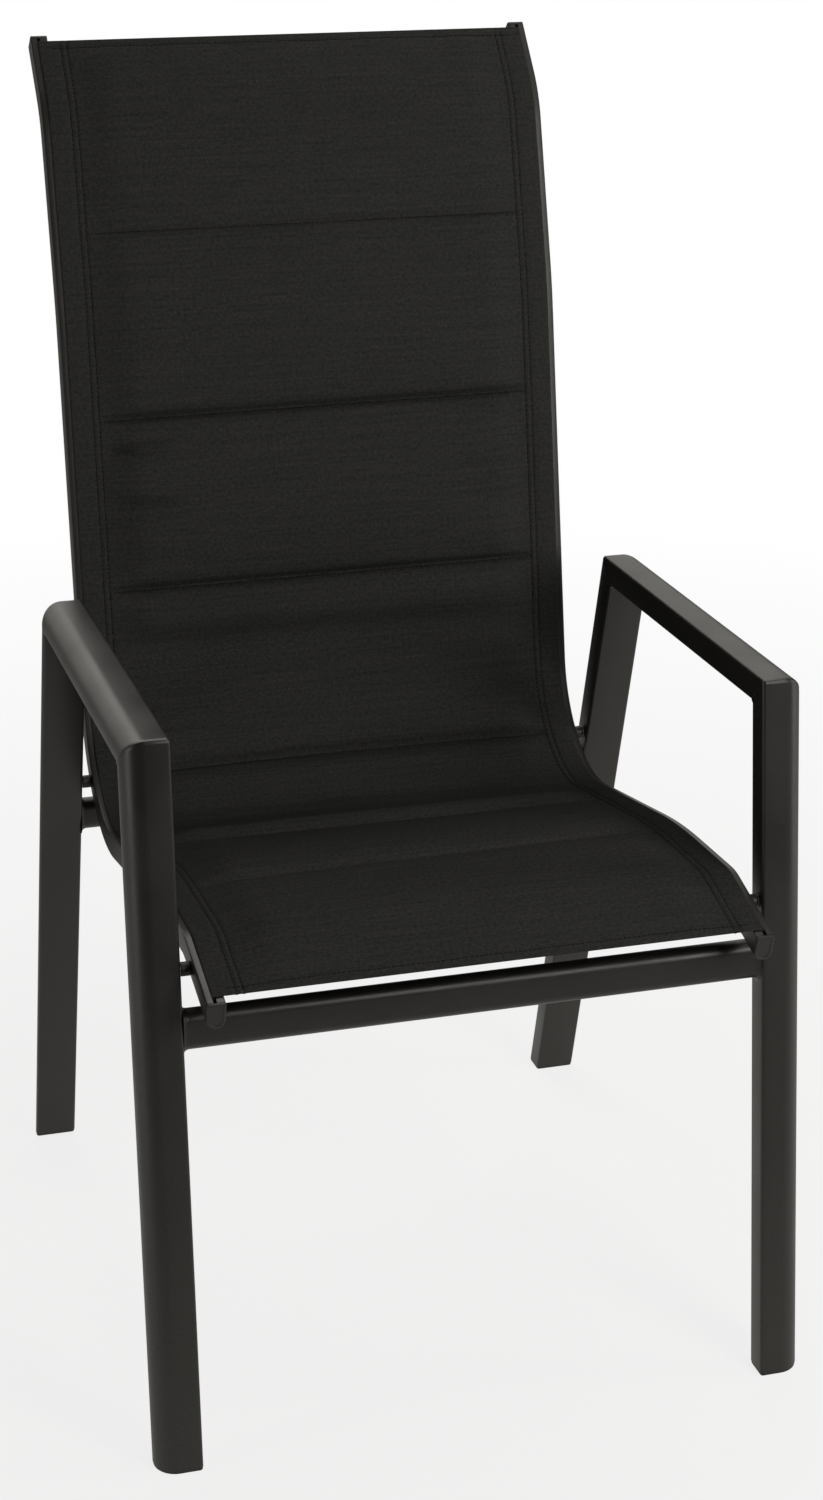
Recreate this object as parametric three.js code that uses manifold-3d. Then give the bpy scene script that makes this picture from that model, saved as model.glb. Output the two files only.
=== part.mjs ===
// High-back sling patio chair: two welded side frames joined by two cross rails, a padded sling
// stretched between two bent rails that are bolted inside the frames on spacers.
// Millimetres, +Z up, the sitter faces -Y and X runs across the chair.

import * as THREE from 'three';
import { mergeVertices } from 'three/addons/utils/BufferGeometryUtils.js';
import Module from 'manifold-3d';

const wasm = await Module();
wasm.setup();

// Side frame, measured on its outer loop, with y from the front foot towards the back
const frameWidth = 590;
const armFrontHeight = 640;
const armRearDrop = 5;
const frontLegRake = 65;
const armRun = 397;
const rearLegRake = 189;

// Frame tube: wide across the chair, one big round corner on the outside of the loop
const tubeWidth = 40;
const tubeDepth = 25;
const tubeWall = 2;
const tubeCrestRadius = 20;
const tubeCornerRadius = 3;

// Cross rails, an upright flat oval tube between the legs, below the sling rail's bolts
const frontCrossHeight = 35;
const rearCrossHeight = 30;
const crossDepth = 20;
const crossRadius = 9;
const crossWall = 2;
const frontCrossDrop = 51.5;
const rearCrossClearance = 7.5;

// Sling rail section, and the gap that the spacers hold open beside it
const railGap = 10;
const railWidth = 16;
const railDepth = 25;
const railWall = 1.8;
const railCorner = 1.2;
const keyInset = 6;
const keyWidth = 2.6;
const keyLip = 1.8;
const keyRadius = 2.8;
const keyFloor = 1.8;

// Sling rail route, from its front end over the knee edge, along the seat and up the back
const railNoseLead = 60;
const noseLength = 80;
const noseRadius = 60;
const thighLength = 75;
const thighRadius = 600;
const seatLength = 159;
const hipRadius = 110;
const lumbarLength = 344;
const shoulderRadius = 500;
const shoulderLength = 137;
const headRadius = 110;
const headLength = 55;
const noseAngle = 15.5;
const thighAngle = -2.5;
const seatAngle = -10.5;
const lumbarAngle = 80.5;
const shoulderAngle = 74.5;
const headAngle = 49;
const frontBoltHeight = 441.5;

// Padded sling
const slingFrontMargin = 6;
const slingTopMargin = 4;
const hemThickness = 1.4;
const sideHem = 25.7;
const padRoll = 16;
const padCrown = 6.5;
const padBelly = 2.5;
const padSeam = 1.2;
const seamShares = [0.153, 0.273, 0.416, 0.565, 0.699, 0.844];
const crownPowerShare = 0.6;
const crownWidthShares = [1, 0.95, 0.6, 0, -0.6, -0.95, -1];
const channelShares = [0.07, 0.25, 0.75, 0.93];
const ringShare = 0.006;

// Fixings and plastic parts
const boltRadius = 3;
const boltHeadRadius = 5.5;
const boltHeadHeight = 3.3;
const boltReach = 9;
const nutRadius = 4.5;
const nutFlangeRadius = 6;
const nutFlange = 1;
const nutLength = 13;
const spacerRadius = 6;
const capPlate = 3;
const capPlug = 16;
const glidePlate = 3;
const glideInset = 0.5;
const glidePlug = 18;

// Spreader bar behind the back
const spreaderFromTop = 232;
const spreaderHeight = 20;
const spreaderDepth = 12;
const spreaderRadius = 5;
const spreaderWall = 1.5;
const plugPlate = 3;
const plugTail = 20;
const pegRadius = 3;
const pegLength = 5;

// Running clearances
const seatGap = 0.3;
const holeGap = 0.3;
const overrun = 2;
const weldTolerance = 1e-5;

// Counts for round stretches
const crestSteps = 8;
const cornerSteps = 2;
const ovalSteps = 4;
const backSteps = 8;
const keySteps = 7;
const rodSteps = 8;
const roundSteps = 18;
const searchSteps = 30;
const bendStep = THREE.MathUtils.degToRad(10);

// Shares used throughout
const half = 0.5;
const leastShare = 0.3;

const quarter = Math.PI * half;
const innerFace = frameWidth * half - tubeWidth;
const railOuter = innerFace - railGap;
const railInner = railOuter - railWidth;

// Centre of the round channel under the slot, in the rail's section, and the hollow below it
const keyX = keyInset + keyWidth * half;
const keyRise = Math.sqrt(keyRadius * keyRadius - keyWidth * keyWidth * half * half);
const keyY = -keyLip - keyRise;
const chamberTop = keyY - keyRadius - keyFloor;

// The bolts pass through that hollow, and the padding stops a side hem away from the slot
const boltDepth = boltRadius + holeGap * 2 - chamberTop;
const padHalfWidth = railOuter - keyX - sideHem;

const powderCoat = { color: 0x33322f, roughness: 0.5, metalness: 0.35 };
const castBlack = { color: 0x1d1c1b, roughness: 0.6, metalness: 0 };
const meshCloth = { color: 0x242422, roughness: 0.85, metalness: 0 };
const steel = { color: 0x8e9092, roughness: 0.35, metalness: 0.9 };

function bare(geometry) {
  const plain = geometry.clone();
  plain.deleteAttribute('normal');
  plain.deleteAttribute('uv');
  return mergeVertices(plain, weldTolerance);
}

function signedVolume(geometry) {
  const place = geometry.getAttribute('position');
  const index = geometry.getIndex();
  const a = new THREE.Vector3();
  const b = new THREE.Vector3();
  const c = new THREE.Vector3();
  let sum = 0;
  for (let i = 0; i < index.count; i += 3) {
    a.fromBufferAttribute(place, index.getX(i));
    b.fromBufferAttribute(place, index.getX(i + 1));
    c.fromBufferAttribute(place, index.getX(i + 2));
    sum += a.dot(b.cross(c));
  }
  return sum;
}

// Closed geometry with shared vertices and its faces turned outwards
function outward(geometry) {
  const closed = bare(geometry);
  if (signedVolume(closed) < 0) {
    const index = closed.getIndex();
    for (let i = 0; i < index.count; i += 3) {
      const swap = index.getX(i);
      index.setX(i, index.getX(i + 1));
      index.setX(i + 1, swap);
    }
  }
  return closed;
}

function toSolid(geometry) {
  const closed = outward(geometry);
  return new wasm.Manifold(new wasm.Mesh({
    numProp: 3,
    vertProperties: new Float32Array(closed.getAttribute('position').array),
    triVerts: new Uint32Array(closed.getIndex().array),
  }));
}

function toGeometry(solid) {
  const mesh = solid.getMesh();
  const geometry = new THREE.BufferGeometry();
  geometry.setAttribute('position', new THREE.BufferAttribute(new Float32Array(mesh.vertProperties), 3));
  geometry.setIndex(new THREE.BufferAttribute(new Uint32Array(mesh.triVerts), 1));
  return geometry;
}

const chair = new THREE.Group();

function addPiece(name, geometry, finish) {
  const shaded = outward(geometry);
  shaded.computeVertexNormals();
  const mesh = new THREE.Mesh(shaded, new THREE.MeshStandardMaterial(finish));
  mesh.name = name;
  chair.add(mesh);
}

// A line in the side plane: a point and a unit direction
function line(from, towards) {
  const direction = new THREE.Vector2().subVectors(towards, from).normalize();
  return { point: from.clone(), direction };
}

// Distance along the first line to where it meets the second
function meeting(first, second) {
  const offset = new THREE.Vector2().subVectors(second.point, first.point);
  return offset.cross(second.direction) / first.direction.cross(second.direction);
}

// Bisector of a corner of the loop, as a cut line for the two tubes that meet there
function mitre(before, corner, after) {
  const back = new THREE.Vector2().subVectors(before, corner).normalize();
  const ahead = new THREE.Vector2().subVectors(after, corner).normalize();
  return { point: corner.clone(), direction: back.add(ahead).normalize() };
}

// Points along a round stretch of an outline, its two ends included
function arc(x, y, radius, from, to, steps) {
  const points = [];
  for (let k = 0; k <= steps; k += 1) {
    const angle = THREE.MathUtils.lerp(from, to, k / steps);
    points.push(new THREE.Vector2(x + radius * Math.cos(angle), y + radius * Math.sin(angle)));
  }
  return points;
}

const frontFoot = new THREE.Vector2(0, 0);
const frontTop = new THREE.Vector2(frontLegRake, armFrontHeight);
const rearTop = new THREE.Vector2(frontLegRake + armRun, armFrontHeight - armRearDrop);
const rearFoot = new THREE.Vector2(frontLegRake + armRun + rearLegRake, 0);
const floorLine = { point: new THREE.Vector2(0, 0), direction: new THREE.Vector2(1, 0) };

// Tube section: x from the outer side to the inner side, y from the loop's outside to its inside
function tubeSection(inset) {
  const crest = Math.min(tubeCrestRadius, Math.min(tubeWidth, tubeDepth) - tubeCornerRadius - seatGap);
  const corner = Math.max(tubeCornerRadius - inset, tubeCornerRadius * leastShare);
  const far = tubeWidth - inset - corner;
  const deep = tubeDepth - inset - corner;
  return new THREE.Shape([
    ...arc(crest, crest, crest - inset, Math.PI, Math.PI + quarter, crestSteps),
    ...arc(far, inset + corner, corner, -quarter, 0, cornerSteps),
    ...arc(far, deep, corner, 0, quarter, cornerSteps),
    ...arc(inset + corner, deep, corner, quarter, Math.PI, cornerSteps),
  ]);
}

// Prism of a tube section along one side of the loop, each end cut along its own line
function loopMember(side, shape, [from, to], [startCut, endCut], [startGap, endGap]) {
  const run = line(from, to);
  const inward = new THREE.Vector2(run.direction.y, -run.direction.x);
  const geometry = new THREE.ExtrudeGeometry(shape, { depth: 1, steps: 1, bevelEnabled: false });
  const place = geometry.getAttribute('position');
  for (let i = 0; i < place.count; i += 1) {
    const across = place.getX(i);
    const depth = place.getY(i);
    const strand = {
      point: from.clone().addScaledVector(inward, depth),
      direction: run.direction,
    };
    const along = place.getZ(i) < half
      ? meeting(strand, startCut) + startGap
      : meeting(strand, endCut) - endGap;
    const spot = strand.point.addScaledVector(run.direction, along);
    place.setXYZ(i, side * (frameWidth * half - across), spot.x, spot.y);
  }
  return bare(geometry);
}

function hollowTube() {
  const shape = tubeSection(0);
  shape.holes.push(tubeSection(tubeWall));
  return shape;
}

function cylinderAcross(radius, fromX, toX, centre) {
  const length = Math.abs(toX - fromX);
  const geometry = new THREE.CylinderGeometry(radius, radius, length, roundSteps);
  geometry.rotateZ(Math.PI * half);
  geometry.translate((fromX + toX) * half, centre.x, centre.y);
  return geometry;
}

function drilled(geometry, radius, fromX, toX, centre) {
  return toSolid(geometry).subtract(toSolid(cylinderAcross(radius, fromX, toX, centre)));
}

// Centre lines of the two legs, on which the bolts and the cross rails sit
function centreLine(foot, top) {
  const run = line(foot, top);
  const middle = new THREE.Vector2(run.direction.y, -run.direction.x);
  if (foot === rearFoot) middle.negate();
  const point = foot.clone().addScaledVector(middle, tubeDepth * half);
  return { point, direction: run.direction };
}

const frontCentre = centreLine(frontFoot, frontTop);
const rearCentre = centreLine(rearFoot, rearTop);

function onCentre(centre, height) {
  const along = (height - centre.point.y) / centre.direction.y;
  return centre.point.clone().addScaledVector(centre.direction, along);
}

const frontBolt = onCentre(frontCentre, frontBoltHeight);

// Route of the rail's front face: straight stretches, each followed by a bend to the next heading
const railRuns = [
  { length: noseLength, heading: noseAngle, radius: noseRadius },
  { length: thighLength, heading: thighAngle, radius: thighRadius },
  { length: seatLength, heading: seatAngle, radius: hipRadius },
  { length: lumbarLength, heading: lumbarAngle, radius: shoulderRadius },
  { length: shoulderLength, heading: shoulderAngle, radius: headRadius },
  { length: headLength, heading: headAngle, radius: 0 },
];

function walk(runs, start) {
  const stations = [];
  const spot = start.clone();
  let travelled = 0;
  const mark = (angle) => stations.push({ spot: spot.clone(), angle, travelled });
  runs.forEach((run, i) => {
    const angle = THREE.MathUtils.degToRad(run.heading);
    if (i === 0) mark(angle);
    spot.addScaledVector(new THREE.Vector2(Math.cos(angle), Math.sin(angle)), run.length);
    travelled += run.length;
    mark(angle);
    if (i === runs.length - 1) return;
    const turn = THREE.MathUtils.degToRad(runs[i + 1].heading) - angle;
    const steps = Math.ceil(Math.abs(turn) / bendStep);
    for (let k = 1; k <= steps; k += 1) {
      const part = turn / steps;
      const middle = angle + part * (k - half);
      const chord = 2 * run.radius * Math.sin(Math.abs(part) * half);
      spot.addScaledVector(new THREE.Vector2(Math.cos(middle), Math.sin(middle)), chord);
      travelled += run.radius * Math.abs(part);
      mark(angle + part * k);
    }
  });
  return stations;
}

// The nose passes the front bolt, so the route starts from there and runs back to its front end
const noseHeading = THREE.MathUtils.degToRad(noseAngle);
const noseUp = new THREE.Vector2(-Math.sin(noseHeading), Math.cos(noseHeading));
const noseAlong = new THREE.Vector2(Math.cos(noseHeading), Math.sin(noseHeading));
const noseTop = frontBolt.clone().addScaledVector(noseUp, boltDepth);
const railStart = noseTop.addScaledVector(noseAlong, -railNoseLead);
const railStations = walk(railRuns, railStart);
const railLength = railStations[railStations.length - 1].travelled;

// Point and heading of the route at a distance from its front end
function railAt(travelled) {
  const last = railStations.length - 1;
  let i = 1;
  while (i < last && railStations[i].travelled < travelled) i += 1;
  const a = railStations[i - 1];
  const b = railStations[i];
  const t = (travelled - a.travelled) / (b.travelled - a.travelled);
  return {
    spot: new THREE.Vector2().lerpVectors(a.spot, b.spot, t),
    angle: THREE.MathUtils.lerp(a.angle, b.angle, t),
    travelled,
  };
}

// Point at a height above the rail's front face, which is negative inside the rail
function offFace(station, height) {
  const up = new THREE.Vector2(-Math.sin(station.angle), Math.cos(station.angle));
  return station.spot.clone().addScaledVector(up, height);
}

// The rear bolt is where the rail's bolt line crosses the rear leg's centre line
function crossRearLeg() {
  for (let i = 1; i < railStations.length; i += 1) {
    const a = offFace(railStations[i - 1], -boltDepth);
    const b = offFace(railStations[i], -boltDepth);
    const run = line(a, b);
    const along = meeting(run, rearCentre);
    if (along >= 0 && along <= a.distanceTo(b)) return a.addScaledVector(run.direction, along);
  }
  return onCentre(rearCentre, frontBoltHeight);
}

// Least distance from a point to the rail's back
function distanceToRail(point) {
  const backs = railStations.map((station) => offFace(station, -railDepth));
  const gaps = backs.slice(1).map((end, i) => {
    const start = backs[i];
    const run = line(start, end);
    const along = new THREE.Vector2().subVectors(point, start).dot(run.direction);
    const reach = THREE.MathUtils.clamp(along, 0, start.distanceTo(end));
    return start.clone().addScaledVector(run.direction, reach).distanceTo(point);
  });
  return Math.min(...gaps);
}

// The rear cross rail sits on the leg's centre line, just clear of the rail that passes above it
function belowRail(bolt) {
  const wanted = rearCrossHeight * half + rearCrossClearance;
  let near = 0;
  let far = railDepth * 2 + wanted * 2;
  for (let k = 0; k < searchSteps; k += 1) {
    const drop = (near + far) * half;
    const spot = onCentre(rearCentre, bolt.y - railDepth * half - drop);
    if (distanceToRail(spot) < wanted) near = drop;
    else far = drop;
  }
  return onCentre(rearCentre, bolt.y - railDepth * half - far);
}

const rearBolt = crossRearLeg();
const frontCross = onCentre(frontCentre, frontBolt.y - frontCrossDrop);
const rearCross = belowRail(rearBolt);
const boltSpots = { front: frontBolt, rear: rearBolt };

// Sweeps a section whose x is measured inwards from the rail's outer face along given stations
function sweptSection(side, shape, stations) {
  const steps = stations.length - 1;
  const geometry = new THREE.ExtrudeGeometry(shape, { depth: steps, steps, bevelEnabled: false });
  const place = geometry.getAttribute('position');
  for (let i = 0; i < place.count; i += 1) {
    const station = stations[Math.round(place.getZ(i))];
    const spot = offFace(station, place.getY(i));
    place.setXYZ(i, side * (railOuter - place.getX(i)), spot.x, spot.y);
  }
  return bare(geometry);
}

// Round-backed rail outline, plain or with the keyhole groove for the sling's edge rod
function railOutline(grooved) {
  const radius = railWidth * half;
  const opening = Math.atan2(keyRise, keyWidth * half);
  const groove = [
    new THREE.Vector2(keyInset + keyWidth, 0),
    ...arc(keyX, keyY, keyRadius, opening, -Math.PI - opening, keySteps),
    new THREE.Vector2(keyInset, 0),
  ];
  return new THREE.Shape([
    ...arc(radius, radius - railDepth, radius, Math.PI, Math.PI * 2, backSteps),
    ...arc(railWidth - railCorner, -railCorner, railCorner, 0, quarter, 1),
    ...(grooved ? groove : []),
    ...arc(railCorner, -railCorner, railCorner, quarter, Math.PI, 1),
  ]);
}

// Hollow behind the groove, or the plug that fits in it
function chamberOutline(inset) {
  const wall = railWall + inset;
  const radius = railWidth * half;
  const top = chamberTop - inset;
  return new THREE.Shape([
    ...arc(radius, radius - railDepth, radius - wall, Math.PI, Math.PI * 2, backSteps),
    new THREE.Vector2(railWidth - wall, top),
    new THREE.Vector2(wall, top),
  ]);
}

const spreaderStation = railAt(railLength - spreaderFromTop);
const spreaderCentre = offFace(spreaderStation, -railDepth * half);

function slingRail(side) {
  const shape = railOutline(true);
  shape.holes.push(chamberOutline(0));
  let solid = toSolid(sweptSection(side, shape, railStations));
  const inside = side * (railInner - overrun);
  const outside = side * (railOuter + overrun);
  for (const spot of Object.values(boltSpots)) {
    solid = solid.subtract(toSolid(cylinderAcross(boltRadius + holeGap, inside, outside, spot)));
  }
  const middle = side * (railInner + railWidth * half);
  solid = solid.subtract(toSolid(cylinderAcross(pegRadius + holeGap, inside, middle, spreaderCentre)));
  return toGeometry(solid);
}

// Straight stations beyond one end of the rail, for a cap's plate and plug
function endStations(end, from, to) {
  const heading = new THREE.Vector2(Math.cos(end.angle), Math.sin(end.angle));
  return [from, to].map((distance) => ({
    spot: end.spot.clone().addScaledVector(heading, distance),
    angle: end.angle,
  }));
}

function railCap(side, end, sense) {
  const plate = endStations(end, sense * seatGap, sense * (seatGap + capPlate));
  const plug = endStations(end, sense * (seatGap + capPlate * half), -sense * capPlug);
  const plateSolid = toSolid(sweptSection(side, railOutline(false), plate));
  const plugSolid = toSolid(sweptSection(side, chamberOutline(holeGap), plug));
  return toGeometry(plateSolid.add(plugSolid));
}

// Edge rod: a round cord in the keyhole of the rail, as long as the sling
function slingStations() {
  const from = slingFrontMargin;
  const to = railLength - slingTopMargin;
  const within = ({ travelled }) => travelled > from + seatGap && travelled < to - seatGap;
  return [railAt(from), ...railStations.filter(within), railAt(to)];
}

function edgeRod(side) {
  const ring = arc(keyX, keyY, keyRadius - holeGap, 0, Math.PI * 2, rodSteps);
  return sweptSection(side, new THREE.Shape(ring.slice(1)), slingStations());
}

// Height of the padding along the sling: low at each cross seam and full between seams
function channelRise(share) {
  const edges = [0, ...seamShares, 1];
  const last = edges.findIndex((edge, i) => i > 0 && share <= edge);
  const t = (share - edges[last - 1]) / (edges[last] - edges[last - 1]);
  return Math.pow(Math.max(0, Math.sin(Math.PI * t)), crownPowerShare);
}

// Fades the padding down to the flat side hem
function sideFade(x) {
  const room = (padHalfWidth - Math.abs(x)) / padRoll;
  const t = THREE.MathUtils.clamp(room, 0, 1);
  return Math.sin(t * Math.PI * half);
}

// Sling outline at one station: over the top, down one slot, back underneath, up the other slot
function slingRing(station, share) {
  const rise = channelRise(share);
  const slotX = railOuter - keyX;
  const rodTop = keyY + keyRadius - holeGap;
  const outerX = slotX + hemThickness * half;
  const tabX = slotX - hemThickness * half;
  const ring = [];
  const top = seatGap + hemThickness;
  const add = (x, height) => ring.push({ x, spot: offFace(station, height) });
  add(outerX, top);
  for (const part of crownWidthShares) {
    const x = part * padHalfWidth;
    const lift = padSeam + padCrown * rise;
    add(x, top + lift * sideFade(x));
  }
  add(-outerX, top);
  add(-outerX, rodTop + seatGap);
  add(-tabX, rodTop + seatGap);
  add(-tabX, seatGap);
  for (const part of [...crownWidthShares].reverse()) {
    const x = part * padHalfWidth;
    add(x, seatGap - padBelly * rise * sideFade(x));
  }
  add(tabX, seatGap);
  add(tabX, rodTop + seatGap);
  add(outerX, rodTop + seatGap);
  return ring;
}

// Every bend of the rail and every cross seam gets a ring, with more rings to round each channel
function padStations() {
  const from = slingFrontMargin;
  const span = railLength - slingTopMargin - from;
  const edges = [0, ...seamShares, 1];
  const bends = slingStations().slice(1, -1).map((station) => (station.travelled - from) / span);
  const shares = [...edges, ...bends];
  const clear = (share) => shares.every((other) => Math.abs(other - share) > ringShare);
  edges.slice(1).forEach((edge, i) => {
    for (const part of channelShares) {
      const share = THREE.MathUtils.lerp(edges[i], edge, part);
      if (clear(share)) shares.push(share);
    }
  });
  shares.sort((a, b) => a - b);
  return shares.map((share) => ({ share, station: railAt(from + span * share) }));
}

// Height of a ring's point above the front face, in the ring's own plane
function flatHeight(ring, k) {
  const origin = ring[0].spot;
  const up = new THREE.Vector2().subVectors(ring[0].spot, ring[ring.length - 1].spot).normalize();
  return new THREE.Vector2().subVectors(ring[k].spot, origin).dot(up);
}

function paddedSling() {
  const rings = padStations().map(({ share, station }) => slingRing(station, share));
  const count = rings[0].length;
  const places = [];
  const index = [];
  for (const ring of rings) {
    for (const { x, spot } of ring) places.push(x, spot.x, spot.y);
  }
  for (let i = 0; i < rings.length - 1; i += 1) {
    for (let k = 0; k < count; k += 1) {
      const a = i * count + k;
      const b = i * count + ((k + 1) % count);
      index.push(a, b, b + count, a, b + count, a + count);
    }
  }
  const flat = rings[0].map(({ x }, k) => new THREE.Vector2(x, flatHeight(rings[0], k)));
  const lids = THREE.ShapeUtils.triangulateShape(flat, []);
  const lastStart = (rings.length - 1) * count;
  for (const [a, b, c] of lids) {
    index.push(a, c, b);
    index.push(lastStart + a, lastStart + b, lastStart + c);
  }
  const geometry = new THREE.BufferGeometry();
  geometry.setAttribute('position', new THREE.Float32BufferAttribute(places, 3));
  geometry.setIndex(index);
  return outward(geometry);
}

function ovalSection(height, depth, radius, inset) {
  const full = Math.min(radius, Math.min(height, depth) * half - seatGap);
  const round = Math.max(full - inset, full * leastShare);
  const top = height * half - inset - round;
  const side = depth * half - inset - round;
  return new THREE.Shape([
    ...arc(side, top, round, 0, quarter, ovalSteps),
    ...arc(-side, top, round, quarter, Math.PI, ovalSteps),
    ...arc(-side, -top, round, Math.PI, Math.PI + quarter, ovalSteps),
    ...arc(side, -top, round, -quarter, 0, ovalSteps),
  ]);
}

// Straight bar across the chair, its section turned by the given angle in the side plane
function barAcross(shape, fromX, toX, centre, angle) {
  const depth = toX - fromX;
  const geometry = new THREE.ExtrudeGeometry(shape, { depth, steps: 1, bevelEnabled: false });
  geometry.rotateZ(angle);
  const place = geometry.getAttribute('position');
  for (let i = 0; i < place.count; i += 1) {
    place.setXYZ(i, fromX + place.getZ(i), centre.x + place.getX(i), centre.y + place.getY(i));
  }
  return bare(geometry);
}

function crossRail(centre, height) {
  const shape = ovalSection(height, crossDepth, crossRadius, 0);
  shape.holes.push(ovalSection(height, crossDepth, crossRadius, crossWall));
  const reach = innerFace - seatGap;
  return barAcross(shape, -reach, reach, centre, 0);
}

const spreaderTilt = spreaderStation.angle - Math.PI * half;
const spreaderReach = railInner - seatGap * 2 - plugPlate;

function spreaderBar() {
  const shape = ovalSection(spreaderHeight, spreaderDepth, spreaderRadius, 0);
  shape.holes.push(ovalSection(spreaderHeight, spreaderDepth, spreaderRadius, spreaderWall));
  return barAcross(shape, -spreaderReach, spreaderReach, spreaderCentre, spreaderTilt);
}

// Plastic plug in the end of the spreader, with a peg that locates it in the rail
function spreaderPlug(side) {
  const plateStart = spreaderReach + seatGap;
  const plateEnd = plateStart + plugPlate;
  const outline = ovalSection(spreaderHeight, spreaderDepth, spreaderRadius, 0);
  const tail = ovalSection(spreaderHeight, spreaderDepth, spreaderRadius, spreaderWall + holeGap);
  const middle = (plateStart + plateEnd) * half;
  const plate = barAcross(outline, plateStart, plateEnd, spreaderCentre, spreaderTilt);
  const stem = barAcross(tail, plateStart - plugTail, middle, spreaderCentre, spreaderTilt);
  const peg = cylinderAcross(pegRadius, middle, plateEnd + pegLength, spreaderCentre);
  const solid = toSolid(plate).add(toSolid(stem)).add(toSolid(peg));
  const geometry = toGeometry(solid);
  geometry.scale(side, 1, 1);
  return outward(geometry);
}

function legTube(side, foot, top, cut) {
  const isFront = foot === frontFoot;
  const bolt = isFront ? frontBolt : rearBolt;
  const floorGap = glidePlate + seatGap;
  const slope = Math.abs(top.y - foot.y) / foot.distanceTo(top);
  const weld = seatGap * half;
  const tube = isFront
    ? loopMember(side, hollowTube(), [foot, top], [floorLine, cut], [floorGap / slope, weld])
    : loopMember(side, hollowTube(), [top, foot], [cut, floorLine], [weld, floorGap / slope]);
  const from = side * (innerFace - overrun);
  const to = side * (innerFace + tubeWall + overrun);
  return toGeometry(drilled(tube, nutRadius + holeGap, from, to, bolt));
}

// Foot glide: a flat plate under the tube and a plug that fits inside it
function footGlide(side, foot, top) {
  const isFront = foot === frontFoot;
  const slope = Math.abs(top.y - foot.y) / foot.distanceTo(top);
  const plateTop = { point: new THREE.Vector2(0, glidePlate), direction: floorLine.direction };
  const plugTop = { point: new THREE.Vector2(0, glidePlate + glidePlug), direction: floorLine.direction };
  const plugFoot = { point: new THREE.Vector2(0, glidePlate * half), direction: floorLine.direction };
  const member = (shape, low, high) => (isFront
    ? loopMember(side, shape, [foot, top], [low, high], [0, 0])
    : loopMember(side, shape, [top, foot], [high, low], [0, 0]));
  const plate = member(tubeSection(glideInset), floorLine, plateTop);
  const plug = member(tubeSection(tubeWall + holeGap / slope), plugFoot, plugTop);
  return toGeometry(toSolid(plate).add(toSolid(plug)));
}

function spacer(side, spot) {
  const from = side * (railOuter + seatGap);
  const to = side * (innerFace - nutFlange - seatGap * 2);
  const body = cylinderAcross(spacerRadius, from, to, spot);
  const extra = side * overrun;
  return toGeometry(drilled(body, boltRadius + holeGap, from - extra, to + extra, spot));
}

function bolt(side, spot) {
  const seat = side * (railInner - seatGap);
  const headEnd = side * (railInner - seatGap - boltHeadHeight);
  const tip = side * (innerFace + boltReach);
  const head = cylinderAcross(boltHeadRadius, headEnd, seat, spot);
  const shank = cylinderAcross(boltRadius, (headEnd + seat) * half, tip, spot);
  return toGeometry(toSolid(head).add(toSolid(shank)));
}

function rivetNut(side, spot) {
  const seat = innerFace - seatGap;
  const flange = cylinderAcross(nutFlangeRadius, side * (seat - nutFlange), side * seat, spot);
  const nutEnd = seat + nutLength;
  const body = cylinderAcross(nutRadius, side * (seat - nutFlange * half), side * nutEnd, spot);
  const from = side * (seat - nutFlange - overrun);
  const to = side * (nutEnd + overrun);
  const whole = toSolid(flange).add(toSolid(body));
  return toGeometry(whole.subtract(toSolid(cylinderAcross(boltRadius + holeGap, from, to, spot))));
}

const frontMitre = mitre(frontFoot, frontTop, rearTop);
const rearMitre = mitre(frontTop, rearTop, rearFoot);

function armTube(side) {
  const weld = seatGap * half;
  return loopMember(side, hollowTube(), [frontTop, rearTop], [frontMitre, rearMitre], [weld, weld]);
}

const sides = { left: -1, right: 1 };

for (const [word, side] of Object.entries(sides)) {
  addPiece(`${word}_arm`, armTube(side), powderCoat);
  addPiece(`${word}_front_leg`, legTube(side, frontFoot, frontTop, frontMitre), powderCoat);
  addPiece(`${word}_rear_leg`, legTube(side, rearFoot, rearTop, rearMitre), powderCoat);
  addPiece(`${word}_front_foot_glide`, footGlide(side, frontFoot, frontTop), castBlack);
  addPiece(`${word}_rear_foot_glide`, footGlide(side, rearFoot, rearTop), castBlack);
  addPiece(`${word}_sling_rail`, slingRail(side), powderCoat);
  addPiece(`${word}_front_rail_cap`, railCap(side, railStations[0], -1), castBlack);
  addPiece(`${word}_top_rail_cap`, railCap(side, railStations[railStations.length - 1], 1), castBlack);
  addPiece(`${word}_sling_edge_rod`, edgeRod(side), castBlack);
  addPiece(`${word}_spreader_plug`, spreaderPlug(side), castBlack);
  for (const [place, spot] of Object.entries(boltSpots)) {
    addPiece(`${word}_${place}_spacer`, spacer(side, spot), castBlack);
    addPiece(`${word}_${place}_bolt`, bolt(side, spot), steel);
    addPiece(`${word}_${place}_rivet_nut`, rivetNut(side, spot), steel);
  }
}

addPiece('front_cross_rail', crossRail(frontCross, frontCrossHeight), powderCoat);
addPiece('rear_cross_rail', crossRail(rearCross, rearCrossHeight), powderCoat);
addPiece('back_spreader_bar', spreaderBar(), powderCoat);
addPiece('padded_sling', paddedSling(), meshCloth);

// The origin is under the middle of the chair, on the floor
const box = new THREE.Box3().setFromObject(chair);
chair.position.set(0, -(box.min.y + box.max.y) * half, -box.min.z);

export default chair;
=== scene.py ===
# %% [markdown]
# # A high-back sling patio chair
# The CAD frame holds every size. This lesson dresses it: two welded tube loops in black powder
# coat, two bent rails with a groove, and a quilted mesh sling whose hems sit in those grooves.
# All lengths below are millimetres, as on a drawing, and one factor turns them to metres.

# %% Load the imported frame
import math

import bmesh
import bpy
import numpy as np
from mathutils import Matrix, Vector


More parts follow.
